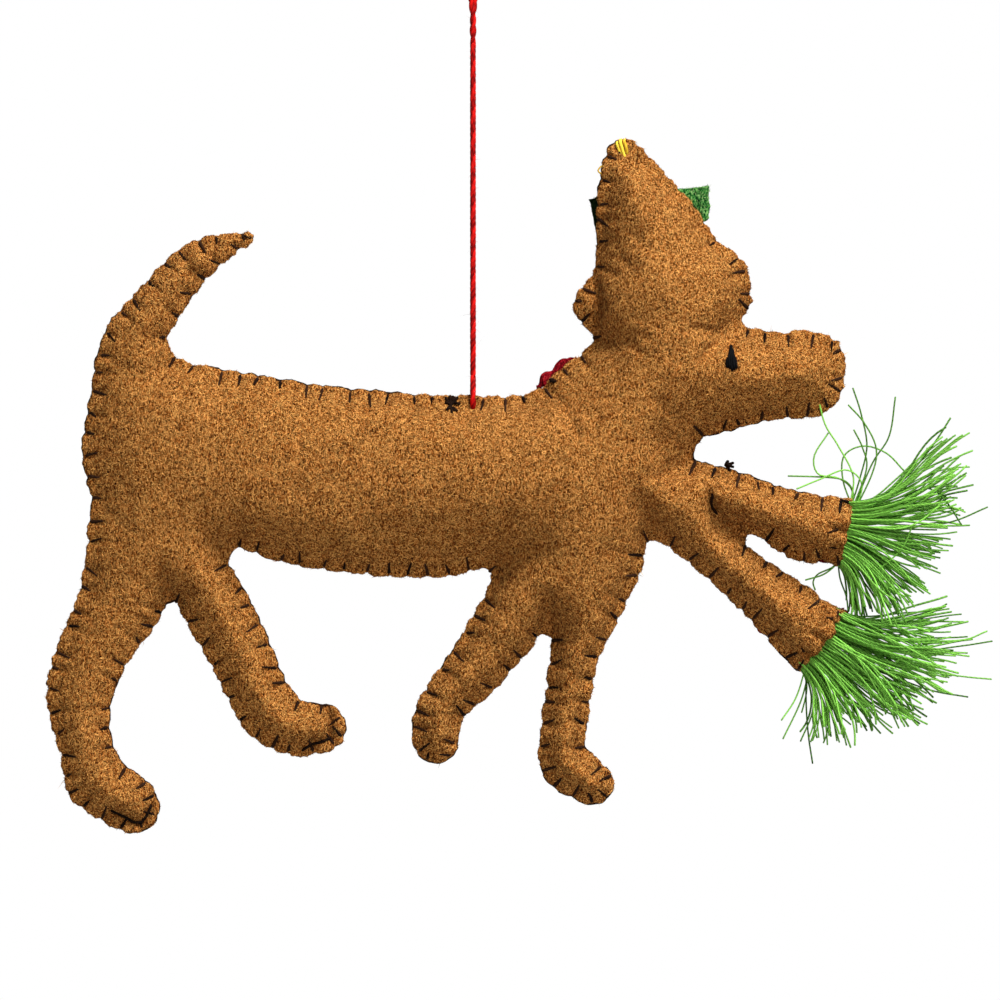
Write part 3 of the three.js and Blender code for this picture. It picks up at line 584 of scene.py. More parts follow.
def sharpen(points):
    start, along = np.array(SLIT[0]), np.array(SLIT[1] - SLIT[0])
    length = np.linalg.norm(along)
    across = np.array((-along[2], 0, along[0])) / length
    aside = (points - start) @ across
    along_share = (points - start) @ along / length ** 2
    parted = 0.0008 * np.exp(-((along_share - 0.22) / 0.3) ** 2)
    closed = 0.0003 * np.exp(-((along_share - 0.85) / 0.4) ** 2)
    aside_more = (parted - closed) * np.sign(aside) * np.exp(-(aside / 0.002) ** 2)
    points = points + aside_more[:, None] * across
    for on_solid, on_photo, reach in NOTCHES:
        start, shift = place(*on_solid), place(*on_photo) - place(*on_solid)
        points = points + nearness(points, start, reach)[:, None] * np.array(shift)
    return points


def outer_shell(node, side):
    """A copy of a panel without its inner face, whose rim reaches the middle plane."""
    shell = copy_node(node, node + "_shell")
    delete_faces(shell, lambda normal: normal.y * side < -0.02)
    edit(shell)
    bpy.ops.mesh.select_all(action="SELECT")
    bpy.ops.mesh.subdivide(number_cuts=2)
    leave_edit()
    points = sharpen(points_of(shell))
    near = np.abs(points[:, 1]) < PANEL_GAP
    points[near, 1] = 0
    set_points(shell, points)
    return shell


def open_edges(mesh):
    """The edges that only one face has, as pairs of vertex numbers, in the order of the faces."""
    uses = {}
    for face in mesh.polygons:
        for key in face.edge_keys:
            uses[key] = uses.get(key, 0) + 1
    return [key for key, count in uses.items() if count == 1]


def panel_outline():
    """The panels' outline, as points along it, from the rim that both shells share."""
    shell = outer_shell("felt_panel_plain_side", -1)
    mesh = shell.data
    neighbours = {}
    for a, b in open_edges(mesh):
        neighbours.setdefault(a, []).append(b)
        neighbours.setdefault(b, []).append(a)
    loops = []
    left = set(neighbours)
    while left:
        loop = [min(left)]
        left.discard(loop[0])
        while True:
            ahead = [n for n in neighbours[loop[-1]] if n in left]
            if not ahead:
                break
            loop.append(ahead[0])
            left.discard(ahead[0])
        loops.append(np.array([tuple(mesh.vertices[i].co) for i in loop]))
    outline = max(loops, key=len)
    outline[:, 1] = 0
    outline = np.vstack([outline, outline[:1]])
    turn = np.sum(outline[:-1, 0] * outline[1:, 2] - outline[1:, 0] * outline[:-1, 2])
    bpy.data.objects.remove(shell)
    return outline if turn > 0 else outline[::-1]


OUTLINE = even(panel_outline(), STITCH_PITCH / STEPS_PER_STITCH)[:-1]


def inward_normals(loop):
    ahead = np.roll(loop, -3, axis=0) - np.roll(loop, 3, axis=0)
    normal = np.column_stack([-ahead[:, 2], np.zeros(len(loop)), ahead[:, 0]])
    return normal / np.linalg.norm(normal, axis=1)[:, None]


INWARD = inward_normals(OUTLINE)


def rim_tree():
    tree = KDTree(len(OUTLINE))
    for i, point in enumerate(OUTLINE):
        tree.insert((point[0], 0, point[2]), i)
    tree.balance()
    return tree


RIM = rim_tree()


def rim_distances(points):
    """For each point, the nearest outline point's number and how far it is in the middle plane."""
    found = [RIM.find((x, 0, z)) for x, _, z in points]
    return np.array([item[1] for item in found]), np.array([item[2] for item in found])


def mouth(top_pixel, bottom_pixel):
    """A cuff's mouth: its middle, the way across it and the way out of it, from two pixels."""
    top, bottom = place(*top_pixel), place(*bottom_pixel)
    across = top - bottom
    out = Vector((across.z, 0, -across.x)).normalized()
    return (top + bottom) / 2, across, out


UPPER_MOUTH = mouth((853, 496), (837, 569))
LOWER_MOUTH = mouth((843, 605), (797, 673))


def weigh(piece, name, weights):
    group = piece.vertex_groups.new(name=name)
    for number, weight in enumerate(weights):
        group.add([number], float(weight), "REPLACE")


# The stuffing is pressed out with the cloth at ten times its size, in this many steps
CLOTH_SCALE = 10.0
CLOTH_STEPS = 12
STUFFING_PRESSURE = 5.0


def inflate(skin):
    """Presses the stuffing outwards against the felt, with the seam held fast."""
    rest = points_of(skin)
    _, depth = rim_distances(rest)
    set_points(skin, rest * CLOTH_SCALE)
    weigh(skin, "seam", depth < SEAM_WIDTH)
    choose(skin)
    bpy.ops.object.modifier_add(type="CLOTH")
    cloth = skin.modifiers[-1]
    cloth.settings.vertex_group_mass = "seam"
    cloth.settings.use_pressure = True
    cloth.settings.uniform_pressure_force = STUFFING_PRESSURE
    cloth.settings.effector_weights.gravity = 0.0
    cloth.settings.quality = 4
    cloth.point_cache.frame_end = CLOTH_STEPS
    for step in range(1, CLOTH_STEPS + 1):
        bpy.context.scene.frame_set(step)
    bpy.ops.object.modifier_apply(modifier=cloth.name)
    bpy.context.scene.frame_set(1)
    moved = points_of(skin) / CLOTH_SCALE - rest
    far = np.linalg.norm(moved, axis=1)
    limit = np.minimum(1.0, PUFF_LIMIT / np.maximum(far, 1e-9))
    set_points(skin, rest + moved * limit[:, None])
    skin.vertex_groups.clear()


# Creases where limbs and toes fold: pixels of the photograph, how deep at each end, and how wide
CREASES = (
    (((744, 537), (735, 529), (724, 520), (714, 508)), 0.85, 0.5, 0.0008),
    (((714, 508), (709, 498), (706, 484)), 0.5, 0.1, 0.0009),
    (((690, 449), (676, 444), (655, 428)), 0.25, 0.05, 0.0020),
    (((656, 534), (648, 520), (634, 500)), 0.35, 0.1, 0.0022),
    (((171, 604), (168, 588), (160, 566)), 0.65, 0.1, 0.0013),
    (((547, 637), (550, 618), (548, 596)), 0.65, 0.1, 0.0013),
    (((230, 550), (212, 536), (196, 516)), 0.3, 0.05, 0.0024),
    (((493, 573), (508, 552), (540, 545)), 0.35, 0.1, 0.0022),
    (((592, 274), (598, 300), (593, 340)), 0.55, 0.6, 0.0010),
    (((745, 311), (738, 292), (722, 262)), 0.22, 0.05, 0.0018),
    (((168, 362), (158, 372), (140, 378)), 0.25, 0.05, 0.0022),
    (((545, 392), (560, 400), (590, 396)), 0.15, 0.05, 0.0028),
    (((324, 703), (331, 720), (328, 738)), 0.7, 0.7, 0.0008),
    (((304, 750), (317, 743), (332, 737)), 0.6, 0.6, 0.0008),
    (((112, 812), (128, 819), (141, 823), (151, 806)), 0.6, 0.6, 0.0008),
)


# Where the felt spans hollows between the hat's and the head's stuffing, in the same terms
SWELLS = (
    (((606, 340), (635, 341), (670, 336)), 0.14, 0.04, 0.0036),
    (((670, 336), (710, 335), (738, 332)), 0.04, 0.3, 0.0036),
    (((610, 262), (625, 260), (642, 257)), 0.06, 0.06, 0.0030),
)


def spots_along(rows):
    for row, first, last, wide in rows:
        line = even(curved([place(x, y) for x, y in row], 24), 0.0004)
        for spot, deep in zip(line, np.linspace(first, last, len(line))):
            yield spot, deep, wide


def creased(points, share=1.0):
    """How much of its height is left at each point, where a crease presses it down."""
    keep = np.ones(len(points))
    for spot, deep, wide in spots_along(CREASES):
        keep = np.minimum(keep, 1 - share * deep * nearness(points, spot, wide))
    return keep


def swollen(points, height=None):
    """How much higher the felt is at each point where it spans a hollow, or the height given."""
    lift = np.zeros(len(points))
    for spot, high, wide in spots_along(SWELLS):
        lift = np.maximum(lift, (height or high) * nearness(points, spot, wide))
    return lift


def fold(skin):
    points = points_of(skin)
    points[:, 1] *= creased(points) * (1 + swollen(points))
    set_points(skin, points)


# Where the stitches are along the outline, by eye and so not quite even
STITCH_COUNT = int(round(len(OUTLINE) / STEPS_PER_STITCH))
STITCH_STEP = len(OUTLINE) / STITCH_COUNT
STITCHES = (np.arange(STITCH_COUNT) + CHANCE.uniform(-0.2, 0.2, STITCH_COUNT)) * STITCH_STEP


def from_stitch(number):
    """How many steps of the outline lie between each point and its nearest stitch."""
    away = np.abs(number[:, None] - STITCHES[None, :])
    return np.minimum(away, len(OUTLINE) - away).min(axis=1)


def scallop(skin):
    """Draws the rim in at each stitch, lets it bulge between them, and parts the two layers."""
    points = points_of(skin)
    number, depth = rim_distances(points)
    at_stitch = np.exp(-(from_stitch(number) / (0.17 * STITCH_STEP)) ** 2)
    near_rim = np.exp(-(depth / (0.9 * SEAM_WIDTH)) ** 2)
    pulled = 0.3 * FELT * at_stitch * near_rim
    parting = np.exp(-(points[:, 1] / (0.35 * FELT)) ** 2) * np.exp(-(depth / (0.5 * SEAM_WIDTH)) ** 2)
    torn = np.array([noise.noise(Vector(p) * 1500) for p in points]) * 0.3 * FELT * near_rim
    points += INWARD[number] * (pulled + torn + 0.5 * FELT * parting)[:, None]
    pressed = 0.3 * at_stitch * np.exp(-((depth - STITCH_DEPTH * 0.6) / STITCH_DEPTH) ** 2)
    points[:, 1] *= 1 - pressed
    set_points(skin, points)


def dent(skin):
    """Slow dents and lumps of hand stuffing."""
    points = points_of(skin)
    _, depth = rim_distances(points)
    normals = np.array([tuple(v.normal) for v in skin.data.vertices])
    lumps = np.array([noise.noise(Vector(p) * 90) + 0.5 * noise.noise(Vector(p) * 260) for p in points])
    amount = 0.00035 * lumps * np.clip(depth / (3 * SEAM_WIDTH), 0, 1)
    set_points(skin, points + normals * amount[:, None])


def close_mouth(skin, cuff):
    """Turns an open cuff into a blind pocket: its inner edge is drawn in along the cuff and filled."""
    middle, across, out = cuff
    mesh = skin.data
    rim = set(open_edges(mesh))
    edit(skin)
    bpy.ops.mesh.select_mode(type="EDGE")
    bpy.ops.mesh.select_all(action="DESELECT")
    leave_edit()
    for edge in mesh.edges:
        a, b = (mesh.vertices[number].co for number in edge.vertices)
        edge.select = edge.key in rim and ((a + b) / 2 - middle).length < across.length
    bpy.ops.object.mode_set(mode="EDIT")
    for share in (0.8, 0.6):
        bpy.ops.mesh.extrude_region_move(TRANSFORM_OT_translate={"value": out * -POCKET_DEPTH / 2})
        bpy.ops.transform.resize(value=(share, share, share), center_override=middle)
    bpy.ops.mesh.edge_face_add()
    leave_edit()


def felt_skin():
    near, far = outer_shell("felt_panel_plain_side", -1), outer_shell("felt_panel_scarf_side", 1)
    choose(near)
    far.select_set(True)
    bpy.ops.object.join()
    skin = near
    skin.name = "felt_dog"
    edit(skin)
    bpy.ops.mesh.remove_doubles(threshold=PANEL_GAP / 30)
    leave_edit()
    for cuff in (UPPER_MOUTH, LOWER_MOUTH):
        close_mouth(skin, cuff)
    edit(skin)
    bpy.ops.mesh.normals_make_consistent(inside=False)
    leave_edit()
    apply_modifier(skin, "REMESH", mode="VOXEL", voxel_size=REMESH_EDGE)
    _, depth = rim_distances(points_of(skin))
    weigh(skin, "crown", depth > 0.7 * SEAM_WIDTH)
    apply_modifier(skin, "SMOOTH", factor=0.6, iterations=8, vertex_group="crown")
    weigh(skin, "spanned", swollen(points_of(skin), 1.0))
    apply_modifier(
        skin, "SMOOTH", factor=0.9, iterations=60, vertex_group="spanned", use_x=False, use_z=False)
    inflate(skin)
    skin.vertex_groups.clear()
    apply_modifier(skin, "SUBSURF", levels=1, render_levels=1)
    dent(skin)
    fold(skin)
    scallop(skin)
    apply_modifier(skin, "DECIMATE", ratio=FACES_KEPT)
    skin.data.materials.append(BROWN)
    smooth_shade(skin)
    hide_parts("felt_panel_plain_side", "felt_panel_scarf_side", *WADS)
    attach(skin, "ornament")
    return skin


SKIN = felt_skin()


def surface_tree(piece):
    mesh = piece.data
    mesh.calc_loop_triangles()
    corners = [tuple(t.vertices) for t in mesh.loop_triangles]
    return BVHTree.FromPolygons([v.co.copy() for v in mesh.vertices], corners)


SURFACE = surface_tree(SKIN)
FAR_AWAY = 0.1


def on_felt(x, z, side, lift=0.0):
    """The place over (x, z) on the felt's plain side, -1, or scarf side, 1, or None past its rim."""
    hit = SURFACE.ray_cast(Vector((x, side * FAR_AWAY, z)), Vector((0, -side, 0)))[0]
    return None if hit is None else hit + Vector((0, side * lift, 0))


# Blanket stitches: a bar of dark thread over both faces at each stitch, and a thread along the rim
UNSTITCHED = (place(618, 136), place(712, 236))
BAR_POINTS = 22


def is_stitched(point):
    """The hat's slanting front edge has no stitches: it lies between these two places."""
    high, low = UNSTITCHED
    return not (high.x < point[0] < low.x and low.z < point[2] < high.z)


def rim_point(number, y=0.0):
    """Where the felt's own rim lies at an outline point."""
    start = OUTLINE[number] - INWARD[number] * FELT
    hit = SURFACE.ray_cast(Vector((start[0], y, start[2])), Vector(INWARD[number]), 3 * FELT)[0]
    return None if hit is None else np.array(hit)


def blanket_stitches():
    bars, radii, shades = [], [], []
    radius = STITCH_THREAD / 2
    slim_ends = 0.6 + 0.75 * np.sin(np.linspace(0, math.pi, BAR_POINTS)) ** 1.5
    for step in STITCHES:
        here = int(round(step)) % len(OUTLINE)
        rim = rim_point(here)
        if rim is None or not is_stitched(rim):
            continue
        slant = CHANCE.normal(0, 0.3)
        along = np.array((INWARD[here][2], 0, -INWARD[here][0]))
        inward = INWARD[here] + along * slant
        inward /= np.linalg.norm(inward)
        deep = STITCH_DEPTH * CHANCE.uniform(0.4, 1.25)
        face = {}
        for side in (-1, 1):
            bar = []
            for share in (1.0, 0.82, 0.55, 0.3, 0.12):
                at = rim + inward * deep * share
                spot = on_felt(at[0], at[2], side, radius * (0.3 if share < 1 else -1.6))
                if spot is not None:
                    bar.append(np.array(spot))
            face[side] = bar
        if len(face[-1]) < 3 or len(face[1]) < 3:
            continue
        corner = rim - inward * radius * 0.4
        bend = [corner + np.array((0, y, 0)) for y in (face[-1][-1][1] * 0.5, 0, face[1][-1][1] * 0.5)]
        bars.append(curved(face[-1] + bend + face[1][::-1], BAR_POINTS))
        radii.append(radius * CHANCE.uniform(0.8, 1.15) * slim_ends)
        shades.append(CHANCE.random())
    stitches = tubes("blanket_stitch_bars", bars, radii, 6, DARK_THREAD, shades)
    runs, run = [], []
    for number in range(0, len(OUTLINE), 2):
        shown = min(1.0, 0.35 + math.sin(0.017 * number + 1.2) + 0.4 * math.sin(0.07 * number))
        rim = rim_point(number, -0.25 * FELT * shown)
        if rim is None or not is_stitched(rim):
            runs.append(run)
            run = []
            continue
        run.append(rim - INWARD[number] * RIM_THREAD * (0.55 * shown - 0.2))
    runs.append(run)
    runs = [np.array(run) for run in runs if len(run) > 3]
    threads = tubes("blanket_stitch_rim", runs, RIM_THREAD / 2, 6, DARK_THREAD, CHANCE.random(len(runs)))
    for piece in (stitches, threads):
        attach(piece, "ornament")


blanket_stitches()


# Wool fuzz on the felt: most fibres lie flat, some stand up
FIBRES = 64000
FUZZ_PIECES = (
    ("wool_mat", (0.0, 0.1), 1.0), ("wool_fibres", (0.0, 0.2), 0.9), ("wool_nap", (0.05, 0.55), 0.7))
EYE_SPOT = sum((Vector(corner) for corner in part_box("eye_stitch_plain_side")), Vector()) / 2


def fuzz(name, piece, side, count, lifts, size, material):
    """Fibres all over the faces of a piece that look to one side."""
    mesh = piece.data
    mesh.calc_loop_triangles()
    corners = np.empty(3 * len(mesh.loop_triangles), dtype=int)
    mesh.loop_triangles.foreach_get("vertices", corners)
    triangles = points_of(piece)[corners.reshape(-1, 3)]
    normal = np.cross(triangles[:, 1] - triangles[:, 0], triangles[:, 2] - triangles[:, 0])
    area = np.linalg.norm(normal, axis=1)
    normal /= np.maximum(area, 1e-15)[:, None]
    weight = area * (np.sign(triangles[:, :, 1].mean(axis=1)) == side)
    count = count
    chosen = CHANCE.choice(len(triangles), size=count, p=weight / weight.sum())
    share = CHANCE.random((count, 2))
    over = share.sum(axis=1) > 1
    share[over] = 1 - share[over]
    corner = triangles[chosen]
    edges = corner[:, 1:] - corner[:, :1]
    roots = corner[:, 0] + share[:, :1] * edges[:, 0] + share[:, 1:] * edges[:, 1]
    out = normal[chosen]
    flat = np.cross(out, CHANCE.normal(size=(count, 3)))
    flat /= np.linalg.norm(flat, axis=1)[:, None]
    direction = flat + out * CHANCE.uniform(*lifts, (count, 1))
    direction /= np.linalg.norm(direction, axis=1)[:, None]
    number, depth = rim_distances(roots)
    short = 0.6 + 0.4 * np.clip(depth / (1.5 * SEAM_WIDTH), 0, 1)
    short[np.hypot(roots[:, 0] - EYE_SPOT.x, 0.4 * (roots[:, 2] - EYE_SPOT.z)) < 0.001] *= 0.3
    near_stitch = np.exp(-(from_stitch(number) / 1.6) ** 2 - (depth / (0.8 * STITCH_DEPTH)) ** 2)
    # Painted shade: fibres are darker in creases and where the stitches pull the felt in
    dim = creased(roots, 0.9) * (1 - 0.5 * near_stitch)
    lengths = HAIR_LENGTH * size * short * CHANCE.uniform(0.4, 1.0, count)
    lengths *= 1 + 2.0 * (CHANCE.random(count) > 0.998)
    return hairs(name, roots, direction, out, lengths, HAIR * size, material, dim)


def wool_fuzz():
    for side, side_name in ((-1, "plain_side"), (1, "scarf_side")):
        for name, lifts, size in FUZZ_PIECES:
            piece = fuzz(f"{name}_{side_name}", SKIN, side, FIBRES, lifts, size, BROWN_HAIR)
            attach(piece, "ornament")


wool_fuzz()


# The eyes: upright satin stitches side by side, longest in the middle
def eye(node, name, side):
    low, high = (Vector(corner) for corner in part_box(node))
    centre = (low + high) / 2
    tall = high.z - low.z
    wide = high.x - low.x
    paths = []
    for layer, count in enumerate((5, 3)):
        for k in range(count):
            share = (k - (count - 1) / 2) / 2.2
            top = centre.z + tall * (0.5 - 0.3 * abs(share) + CHANCE.normal(0, 0.07))
            bottom = centre.z - tall * (0.7 - 0.1 * abs(share) + CHANCE.normal(0, 0.05))
            path = []
            for t in np.linspace(0, 1, 13):
                z = bottom + t * (top - bottom)
                narrow = 0.3 + 0.7 / (1 + math.exp((t - 0.62) / 0.07))
                x = centre.x + wide * (0.5 * share * narrow - 0.08 * math.sin(3 * t))
                sunk = 1.2 if t in (0.0, 1.0) else 0.0
                path.append(on_felt(x, z, side, EYE_THREAD * (0.6 + 0.45 * layer - sunk)))
            paths.append(curved(path, 18))
    piece = tubes(name, paths, EYE_THREAD / 2, 6, BLACK_THREAD, CHANCE.random(len(paths)))
    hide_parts(node)
    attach(piece, "ornament")


eye("eye_stitch_plain_side", "eye_plain_side", -1)
eye("eye_stitch_scarf_side", "eye_scarf_side", 1)


# Felt laid on the scarf side: the top face of its solid, made fine, laid on the skin and thickened.
# Past the skin's rim it hangs over by a share of what the solid does, behind and ahead, and leans away
# from the rim behind it.
def laid_felt(node, name, slot, material, fibre, ragged, fray, behind, ahead, lean):
    piece = copy_node(node, name)
    delete_faces(piece, lambda normal: normal.y < 0.02)
    edit(piece)
    bpy.ops.mesh.subdivide(number_cuts=5)
    leave_edit()
    points = points_of(piece)
    nearest, _ = rim_distances(points)
    for i, (x, y, z) in enumerate(points):
        at = Vector((x, 0, z))
        back = 0.0
        if on_felt(x, z, 1) is None:
            rim, inward = Vector(OUTLINE[nearest[i]]), Vector(INWARD[nearest[i]])
            share = behind if inward.x > 0 else ahead
            at = rim + (at - rim) * share + inward * FELT * (1 - min(1, 2 * share))
            back = lean + 0.9 * (at - rim).length if inward.x > 0 else 0.0
        at += noise.noise_vector(at * 700) * ragged + noise.noise_vector(at * 2600) * fray
        for pixel, shift in PEEKS:
            at += Vector(shift) * math.exp(-((at - place(*pixel)).length / 0.001) ** 2)
        spot = on_felt(at.x, at.z, 1, 0.15 * FELT)
        points[i] = (at.x, max(spot.y, FELT) if spot is not None else FELT + back, at.z)
    set_points(piece, points)
    apply_modifier(piece, "SMOOTH", factor=0.5, iterations=6, use_x=False, use_z=False)
    apply_modifier(piece, "SOLIDIFY", thickness=0.8 * FELT, offset=1.0)
    apply_modifier(piece, "SUBSURF", levels=1, render_levels=1)
    edit(piece)
    bpy.ops.mesh.normals_make_consistent(inside=False)
    leave_edit()
    piece.data.materials.append(material)
    smooth_shade(piece)
    fibres = fuzz(name + "_fibres", piece, 1, 5000, (0.0, 0.5), 0.8, fibre)
    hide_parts(node)
    for each in (piece, fibres):
        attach(each, "ornament")


# Where the felts show past the rim by more or less than the solids, and which way they are pushed
PEEKS = (
    ((846, 495), (0.0012, 0, 0.0004)),
    ((764, 627), (-0.0010, 0, -0.0010)),
    ((832, 567), (-0.0012, 0, 0.0010)),
    ((535, 386), (0.0012, 0, -0.0008)),
    ((562, 367), (-0.0002, 0, 0.0008)),
    ((546, 378), (-0.0003, 0, 0.0004)),
    ((714, 216), (-0.0006, 0, 0.0001)),
    ((708, 188), (0.0006, 0, 0.0003)),
)
RED_WOOL = ("dark_red_felt", RED_FELT, RED_HAIR)
GREEN_WOOL = ("green_felt", GREEN_FELT, GREEN_HAIR)

laid_felt("hat_band", "hat_band_felt", *GREEN_WOOL, 0.0002, 0.0001, 0.7, 1.0, 0.0022)
laid_felt("scarf_wrap", "scarf_wrap_felt", *RED_WOOL, 0.0007, 0.0003, 0.6, 0.6, 0)
laid_felt("scarf_tail_upper_felt", "scarf_tail_upper_cloth", *RED_WOOL, 0.0002, 0.0001, 0, 0, 0)
laid_felt("scarf_tail_lower_felt", "scarf_tail_lower_cloth", *RED_WOOL, 0.0002, 0.0001, 0, 0, 0)


# Tassels
LOCKS = 26
FAN_SHARES = (-0.5, -0.25, 0, 0.25, 0.5)


def strand(start, reach, angle, out, depth, curl, wave):
    """A strand that leaves along the cuff, bends over to its own angle and curls on towards its tip."""
    first = math.atan2(out.z, out.x)
    path = []
    at = np.array(start, dtype=float)
    count = 16
    for k in range(count):
        t = k / (count - 1)
        path.append(at.copy())
        ripple = wave[0] * t * math.sin(6.5 * t + wave[1])
        heading = first + (angle - first) * min(1.0, 1.8 * t) ** 0.8 + curl * t * t + ripple
        step = reach / (count - 1)
        sideways = depth * (1 - 0.5 * t) + wave[0] * math.cos(5 * t + wave[1])
        at += step * np.array((math.cos(heading), sideways, math.sin(heading)))
    return np.array(path)


def tassel(node, name, cuff, fan, lengths, count):
    """Strands in locks: those of a lock share an angle, a curl and a length, and each strays a little."""
    middle, across, out = cuff
    paths, shades, radii = [], [], []
    lock_angle = CHANCE.normal(0, 8.0, LOCKS)
    lock_curl = CHANCE.normal(0, 0.3, LOCKS)
    lock_reach = CHANCE.uniform(0.8, 1.04, LOCKS)
    lock_depth = CHANCE.normal(0, 0.16, LOCKS)
    for k in range(count):
        u = (k + CHANCE.random()) / count - 0.5
        lock = int(np.clip((u + 0.5) * LOCKS + CHANCE.normal(0, 1.1), 0, LOCKS - 1))
        v = CHANCE.uniform(-1, 1)
        thick = 0.0013 * math.sqrt(max(0.0, 1 - (1.9 * u) ** 2)) + 0.0004
        start = middle + across * 0.84 * u - out * 0.002 + Vector((0, v * thick, 0))
        spread = np.interp(u, FAN_SHARES, fan)
        angle = math.radians(spread + lock_angle[lock] + CHANCE.normal(0, 5.0))
        reach = np.interp(u, FAN_SHARES, lengths) * lock_reach[lock]
        reach *= CHANCE.uniform(0.86, 1.04) * (0.75 if CHANCE.random() < 0.12 else 1.0)
        wave = (abs(CHANCE.normal(0, 0.16)), CHANCE.uniform(0, 6.28))
        depth = 0.3 * v + lock_depth[lock] + CHANCE.normal(0, 0.05)
        paths.append(strand(start, reach, angle, out, depth, lock_curl[lock], wave))
        # Half of each strand's tone is random; the other half is painted shade: strands further back are
        # darker
        shades.append(np.clip(0.5 * CHANCE.random() + 0.5 * (0.5 - 0.5 * v), 0, 1))
        radii.append(TASSEL_THREAD / 2 * CHANCE.uniform(0.8, 1.1))
    piece = tubes(name, paths, radii, 5, GREEN_THREAD, shades)
    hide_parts(node)
    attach(piece, "ornament")


# The strands' angles in degrees and their lengths, at five places across each cuff's mouth
UPPER_FAN = (-80, -54, -28, 12, 52)
UPPER_LENGTHS = (0.0125, 0.0186, 0.0190, 0.0206, 0.0266)
LOWER_FAN = (-88, -52, -38, -20, 2)
LOWER_LENGTHS = (0.0138, 0.0204, 0.0250, 0.0260, 0.0222)
tassel("tassel_upper", "upper_tassel", UPPER_MOUTH, UPPER_FAN, UPPER_LENGTHS, 200)
tassel("tassel_lower", "lower_tassel", LOWER_MOUTH, LOWER_FAN, LOWER_LENGTHS, 220)


# Stray strands of the tassels, point by point down the photograph, with a depth for each end
STRAYS = (
    ((818, 400), (825, 425), (838, 446), (853, 476), (850, 505)),
    ((828, 433), (814, 456), (818, 474), (838, 478), (852, 490), (850, 512)),
    ((853, 388), (861, 413), (867, 446), (860, 478), (850, 510)),
    ((848, 405), (864, 423), (876, 448), (872, 474), (852, 516)),
    ((895, 397), (889, 436), (872, 464), (852, 512)),
    ((853, 430), (862, 448), (866, 470), (850, 515)),
    ((904, 471), (886, 453), (863, 446), (844, 456), (843, 480), (852, 506)),
    ((788, 476), (820, 477), (843, 480), (853, 492), (850, 512)),
    ((796, 489), (818, 480), (846, 470), (862, 486), (850, 520)),
    ((961, 526), (944, 500), (925, 488), (900, 500), (850, 525)),
    ((987, 507), (950, 522), (905, 527), (850, 530)),
    ((911, 526), (902, 547), (880, 567), (858, 570), (846, 552), (846, 540)),
    ((805, 580), (824, 574), (838, 562), (842, 550)),
    ((815, 590), (813, 582), (818, 574), (834, 566), (840, 552)),
    ((848, 612), (846, 596), (840, 578), (838, 558)),
    ((781, 720), (795, 699), (803, 676), (806, 660)),
    ((783, 739), (799, 706), (806, 684), (810, 662)),
    ((800, 741), (812, 712), (812, 684), (808, 664)),
    ((812, 763), (808, 735), (806, 705), (806, 668)),
    ((837, 741), (832, 712), (822, 684), (812, 662)),
    ((846, 745), (838, 712), (826, 684), (814, 660)),
    ((987, 631), (962, 640), (915, 640), (868, 634), (822, 640)),
    ((992, 641), (960, 646), (905, 652), (860, 646), (824, 640)),
    ((991, 679), (960, 676), (905, 668), (855, 654), (818, 648)),
    ((968, 697), (930, 690), (880, 672), (820, 654)),
    ((921, 641), (905, 654), (884, 668), (860, 664), (826, 646)),
    ((857, 636), (846, 650), (836, 658), (820, 656)),
)


def stray_strands():
    paths, shades = [], []
    for row in STRAYS:
        tip, root = CHANCE.uniform(-0.0035, 0.0005), CHANCE.uniform(-0.001, 0.001)
        depths = np.linspace(tip, root, len(row))
        paths.append(curved([place(x, y, depth) for (x, y), depth in zip(row, depths)], 22))
        shades.append(CHANCE.random())
    piece = tubes("stray_tassel_strands", paths, TASSEL_THREAD * 0.42, 5, GREEN_THREAD, shades)
    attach(piece, "ornament")


stray_strands()


# Yellow thread over the hat's tip, with a small loose loop beside it
TIP_STRANDS = (
    ((617, 144), (619, 150), (623, 158)),
    ((620, 142), (622, 149), (625, 159)),
    ((624, 142), (626, 148), (627, 156)),
)
LOOSE_LOOP = ((606, 168), (603, 174), (598, 171), (602, 166), (606, 168), (608, 175), (607, 180))


def tip_thread():
    paths = []
    for row in TIP_STRANDS:
        legs = {}
        for side in (-1, 1):
            leg = []
            for number, (x, y) in enumerate(row[::-1]):
                spot = place(x, y)
                lift = STITCH_THREAD * (-0.8 if number == 0 else 0.4)
                spot = on_felt(spot.x, spot.z, side, lift)
                if spot is not None:
                    leg.append(spot)
            legs[side] = leg
        crest = place(row[0][0] + 1, row[0][1] - 2)
        over = [crest + Vector((0, side * 0.35 * FELT, 0)) for side in (-1, 1)]
        paths.append(curved(legs[-1] + over + legs[1][::-1], 30))
    paths.append(curved([place(x, y, -0.0006) for x, y in LOOSE_LOOP], 24))
    radii = [STITCH_THREAD * 0.6] * len(TIP_STRANDS) + [STITCH_THREAD * 0.3]
    piece = tubes("hat_tip_yellow_thread", paths, radii, 6, YELLOW_THREAD, CHANCE.random(len(paths)))
    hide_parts("hat_tip_thread")
    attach(piece, "ornament")


tip_thread()


# Knots where the dark thread was tied off, with their sizes, and over-stitches beside them and along
# folds: pixels of the photograph
KNOTS = (((452, 399), 0.0005), ((729, 466), 0.0008), ((553, 381), 0.0005))
OVER_STITCHES = (
    ((446, 398), (449, 404), (455, 411)), ((457, 398), (452, 404), (447, 410)),
    ((450, 397), (451, 405), (452, 413)), ((446, 403), (452, 402), (459, 404)),
    ((448, 409), (453, 408), (457, 411)), ((551, 373), (553, 378), (556, 383)),
    ((540, 387), (545, 388), (550, 390)), ((325, 704), (330, 714), (331, 726), (328, 737)),
    ((303, 750), (312, 744), (321, 742), (330, 738)), ((113, 811), (126, 817), (134, 822), (142, 822)),
    ((141, 823), (147, 815), (151, 806)), ((716, 513), (711, 505), (712, 495)),
)


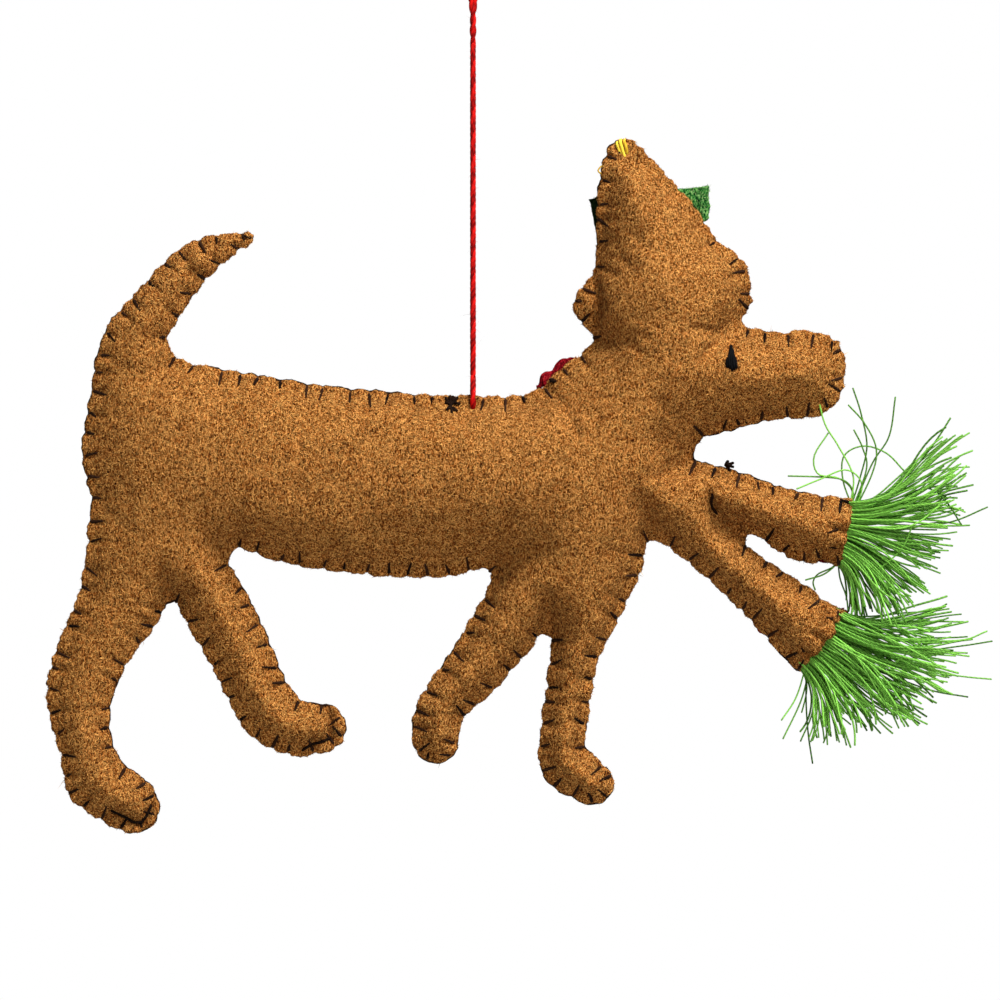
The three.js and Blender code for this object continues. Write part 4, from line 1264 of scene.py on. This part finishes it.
def knots():
    paths = []
    for pixel, size in KNOTS:
        centre = place(*pixel)
        spot = on_felt(centre.x, centre.z, -1, size * 0.4) or Vector((centre.x, -FELT, centre.z))
        turns = [spot + Vector(CHANCE.normal(0, size * 0.42, 3)) for _ in range(16)]
        paths.append(curved(turns, 130))
    into_felt = Vector((0, FELT, 0))
    for row in OVER_STITCHES:
        path = [on_felt(place(x, y).x, place(x, y).z, -1, STITCH_THREAD * 0.4) for x, y in row]
        if None not in path:
            paths.append(curved([path[0] + into_felt, *path, path[-1] + into_felt], 16))
    shades = CHANCE.random(len(paths)) * 0.4
    piece = tubes("thread_knots", paths, STITCH_THREAD * 0.5, 6, DARK_THREAD, shades)
    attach(piece, "ornament")


knots()


# White floor and backdrop, soft light from above, in front and behind
def white_stage():
    cloth = Cloth("white_stage", 1.0)
    ray = cloth.add("ShaderNodeLightPath")
    seen = cloth.math("MAXIMUM", ray.outputs["Is Camera Ray"], cloth.math(
        "MAXIMUM", ray.outputs["Is Glossy Ray"], ray.outputs["Is Transmission Ray"]))
    glow = cloth.add("ShaderNodeEmission", {"Color": (1, 1, 1, 1), "Strength": 1.0})
    plain = cloth.add("ShaderNodeBsdfDiffuse", {"Color": (0.35, 0.35, 0.35, 1)})
    both = cloth.add("ShaderNodeMixShader", {0: seen, 1: plain.outputs[0], 2: glow.outputs[0]})
    cloth.links.new(both.outputs[0], cloth.nodes["Material Output"].inputs["Surface"])
    return cloth.material


STAGE_SIZE = 4.0
FLOOR_Z = -0.3


def stage():
    bpy.ops.object.select_all(action="DESELECT")
    bpy.ops.mesh.primitive_plane_add(size=STAGE_SIZE, location=(0, 0, FLOOR_Z))
    floor = bpy.context.object
    floor.name = "floor"
    floor.data.materials.append(white_stage())
    world = bpy.data.worlds.new("studio")
    bpy.context.scene.world = world
    world.use_nodes = True
    nodes, links = world.node_tree.nodes, world.node_tree.links
    dim = nodes["Background"]
    dim.inputs["Color"].default_value = (1, 1, 1, 1)
    dim.inputs["Strength"].default_value = 0.24
    white = nodes.new("ShaderNodeBackground")
    white.inputs["Strength"].default_value = 1.0
    white.inputs["Color"].default_value = (1, 1, 1, 1)
    ray = nodes.new("ShaderNodeLightPath")
    mix = nodes.new("ShaderNodeMixShader")
    links.new(ray.outputs["Is Camera Ray"], mix.inputs[0])
    links.new(dim.outputs[0], mix.inputs[1])
    links.new(white.outputs[0], mix.inputs[2])
    links.new(mix.outputs[0], nodes["World Output"].inputs["Surface"])


def lamp(name, location, aim, size, watts):
    bpy.ops.object.light_add(type="AREA", location=location)
    light = bpy.context.object
    light.name = name
    light.data.size = size
    light.data.energy = watts
    light.rotation_euler = (Vector(aim) - Vector(location)).to_track_quat("-Z", "Y").to_euler()


stage()
lamp("key_light", (0.4, -0.5, 0.9), (0.01, 0, -0.09), 0.4, 23.0)
lamp("fill_light", (0.3, -0.9, 0.1), (0, 0, -0.09), 0.6, 3.8)
lamp("back_light", (0.1, 0.9, 0.6), (0, 0, -0.09), 0.6, 9.0)

bpy.context.scene.view_settings.view_transform = "Standard"
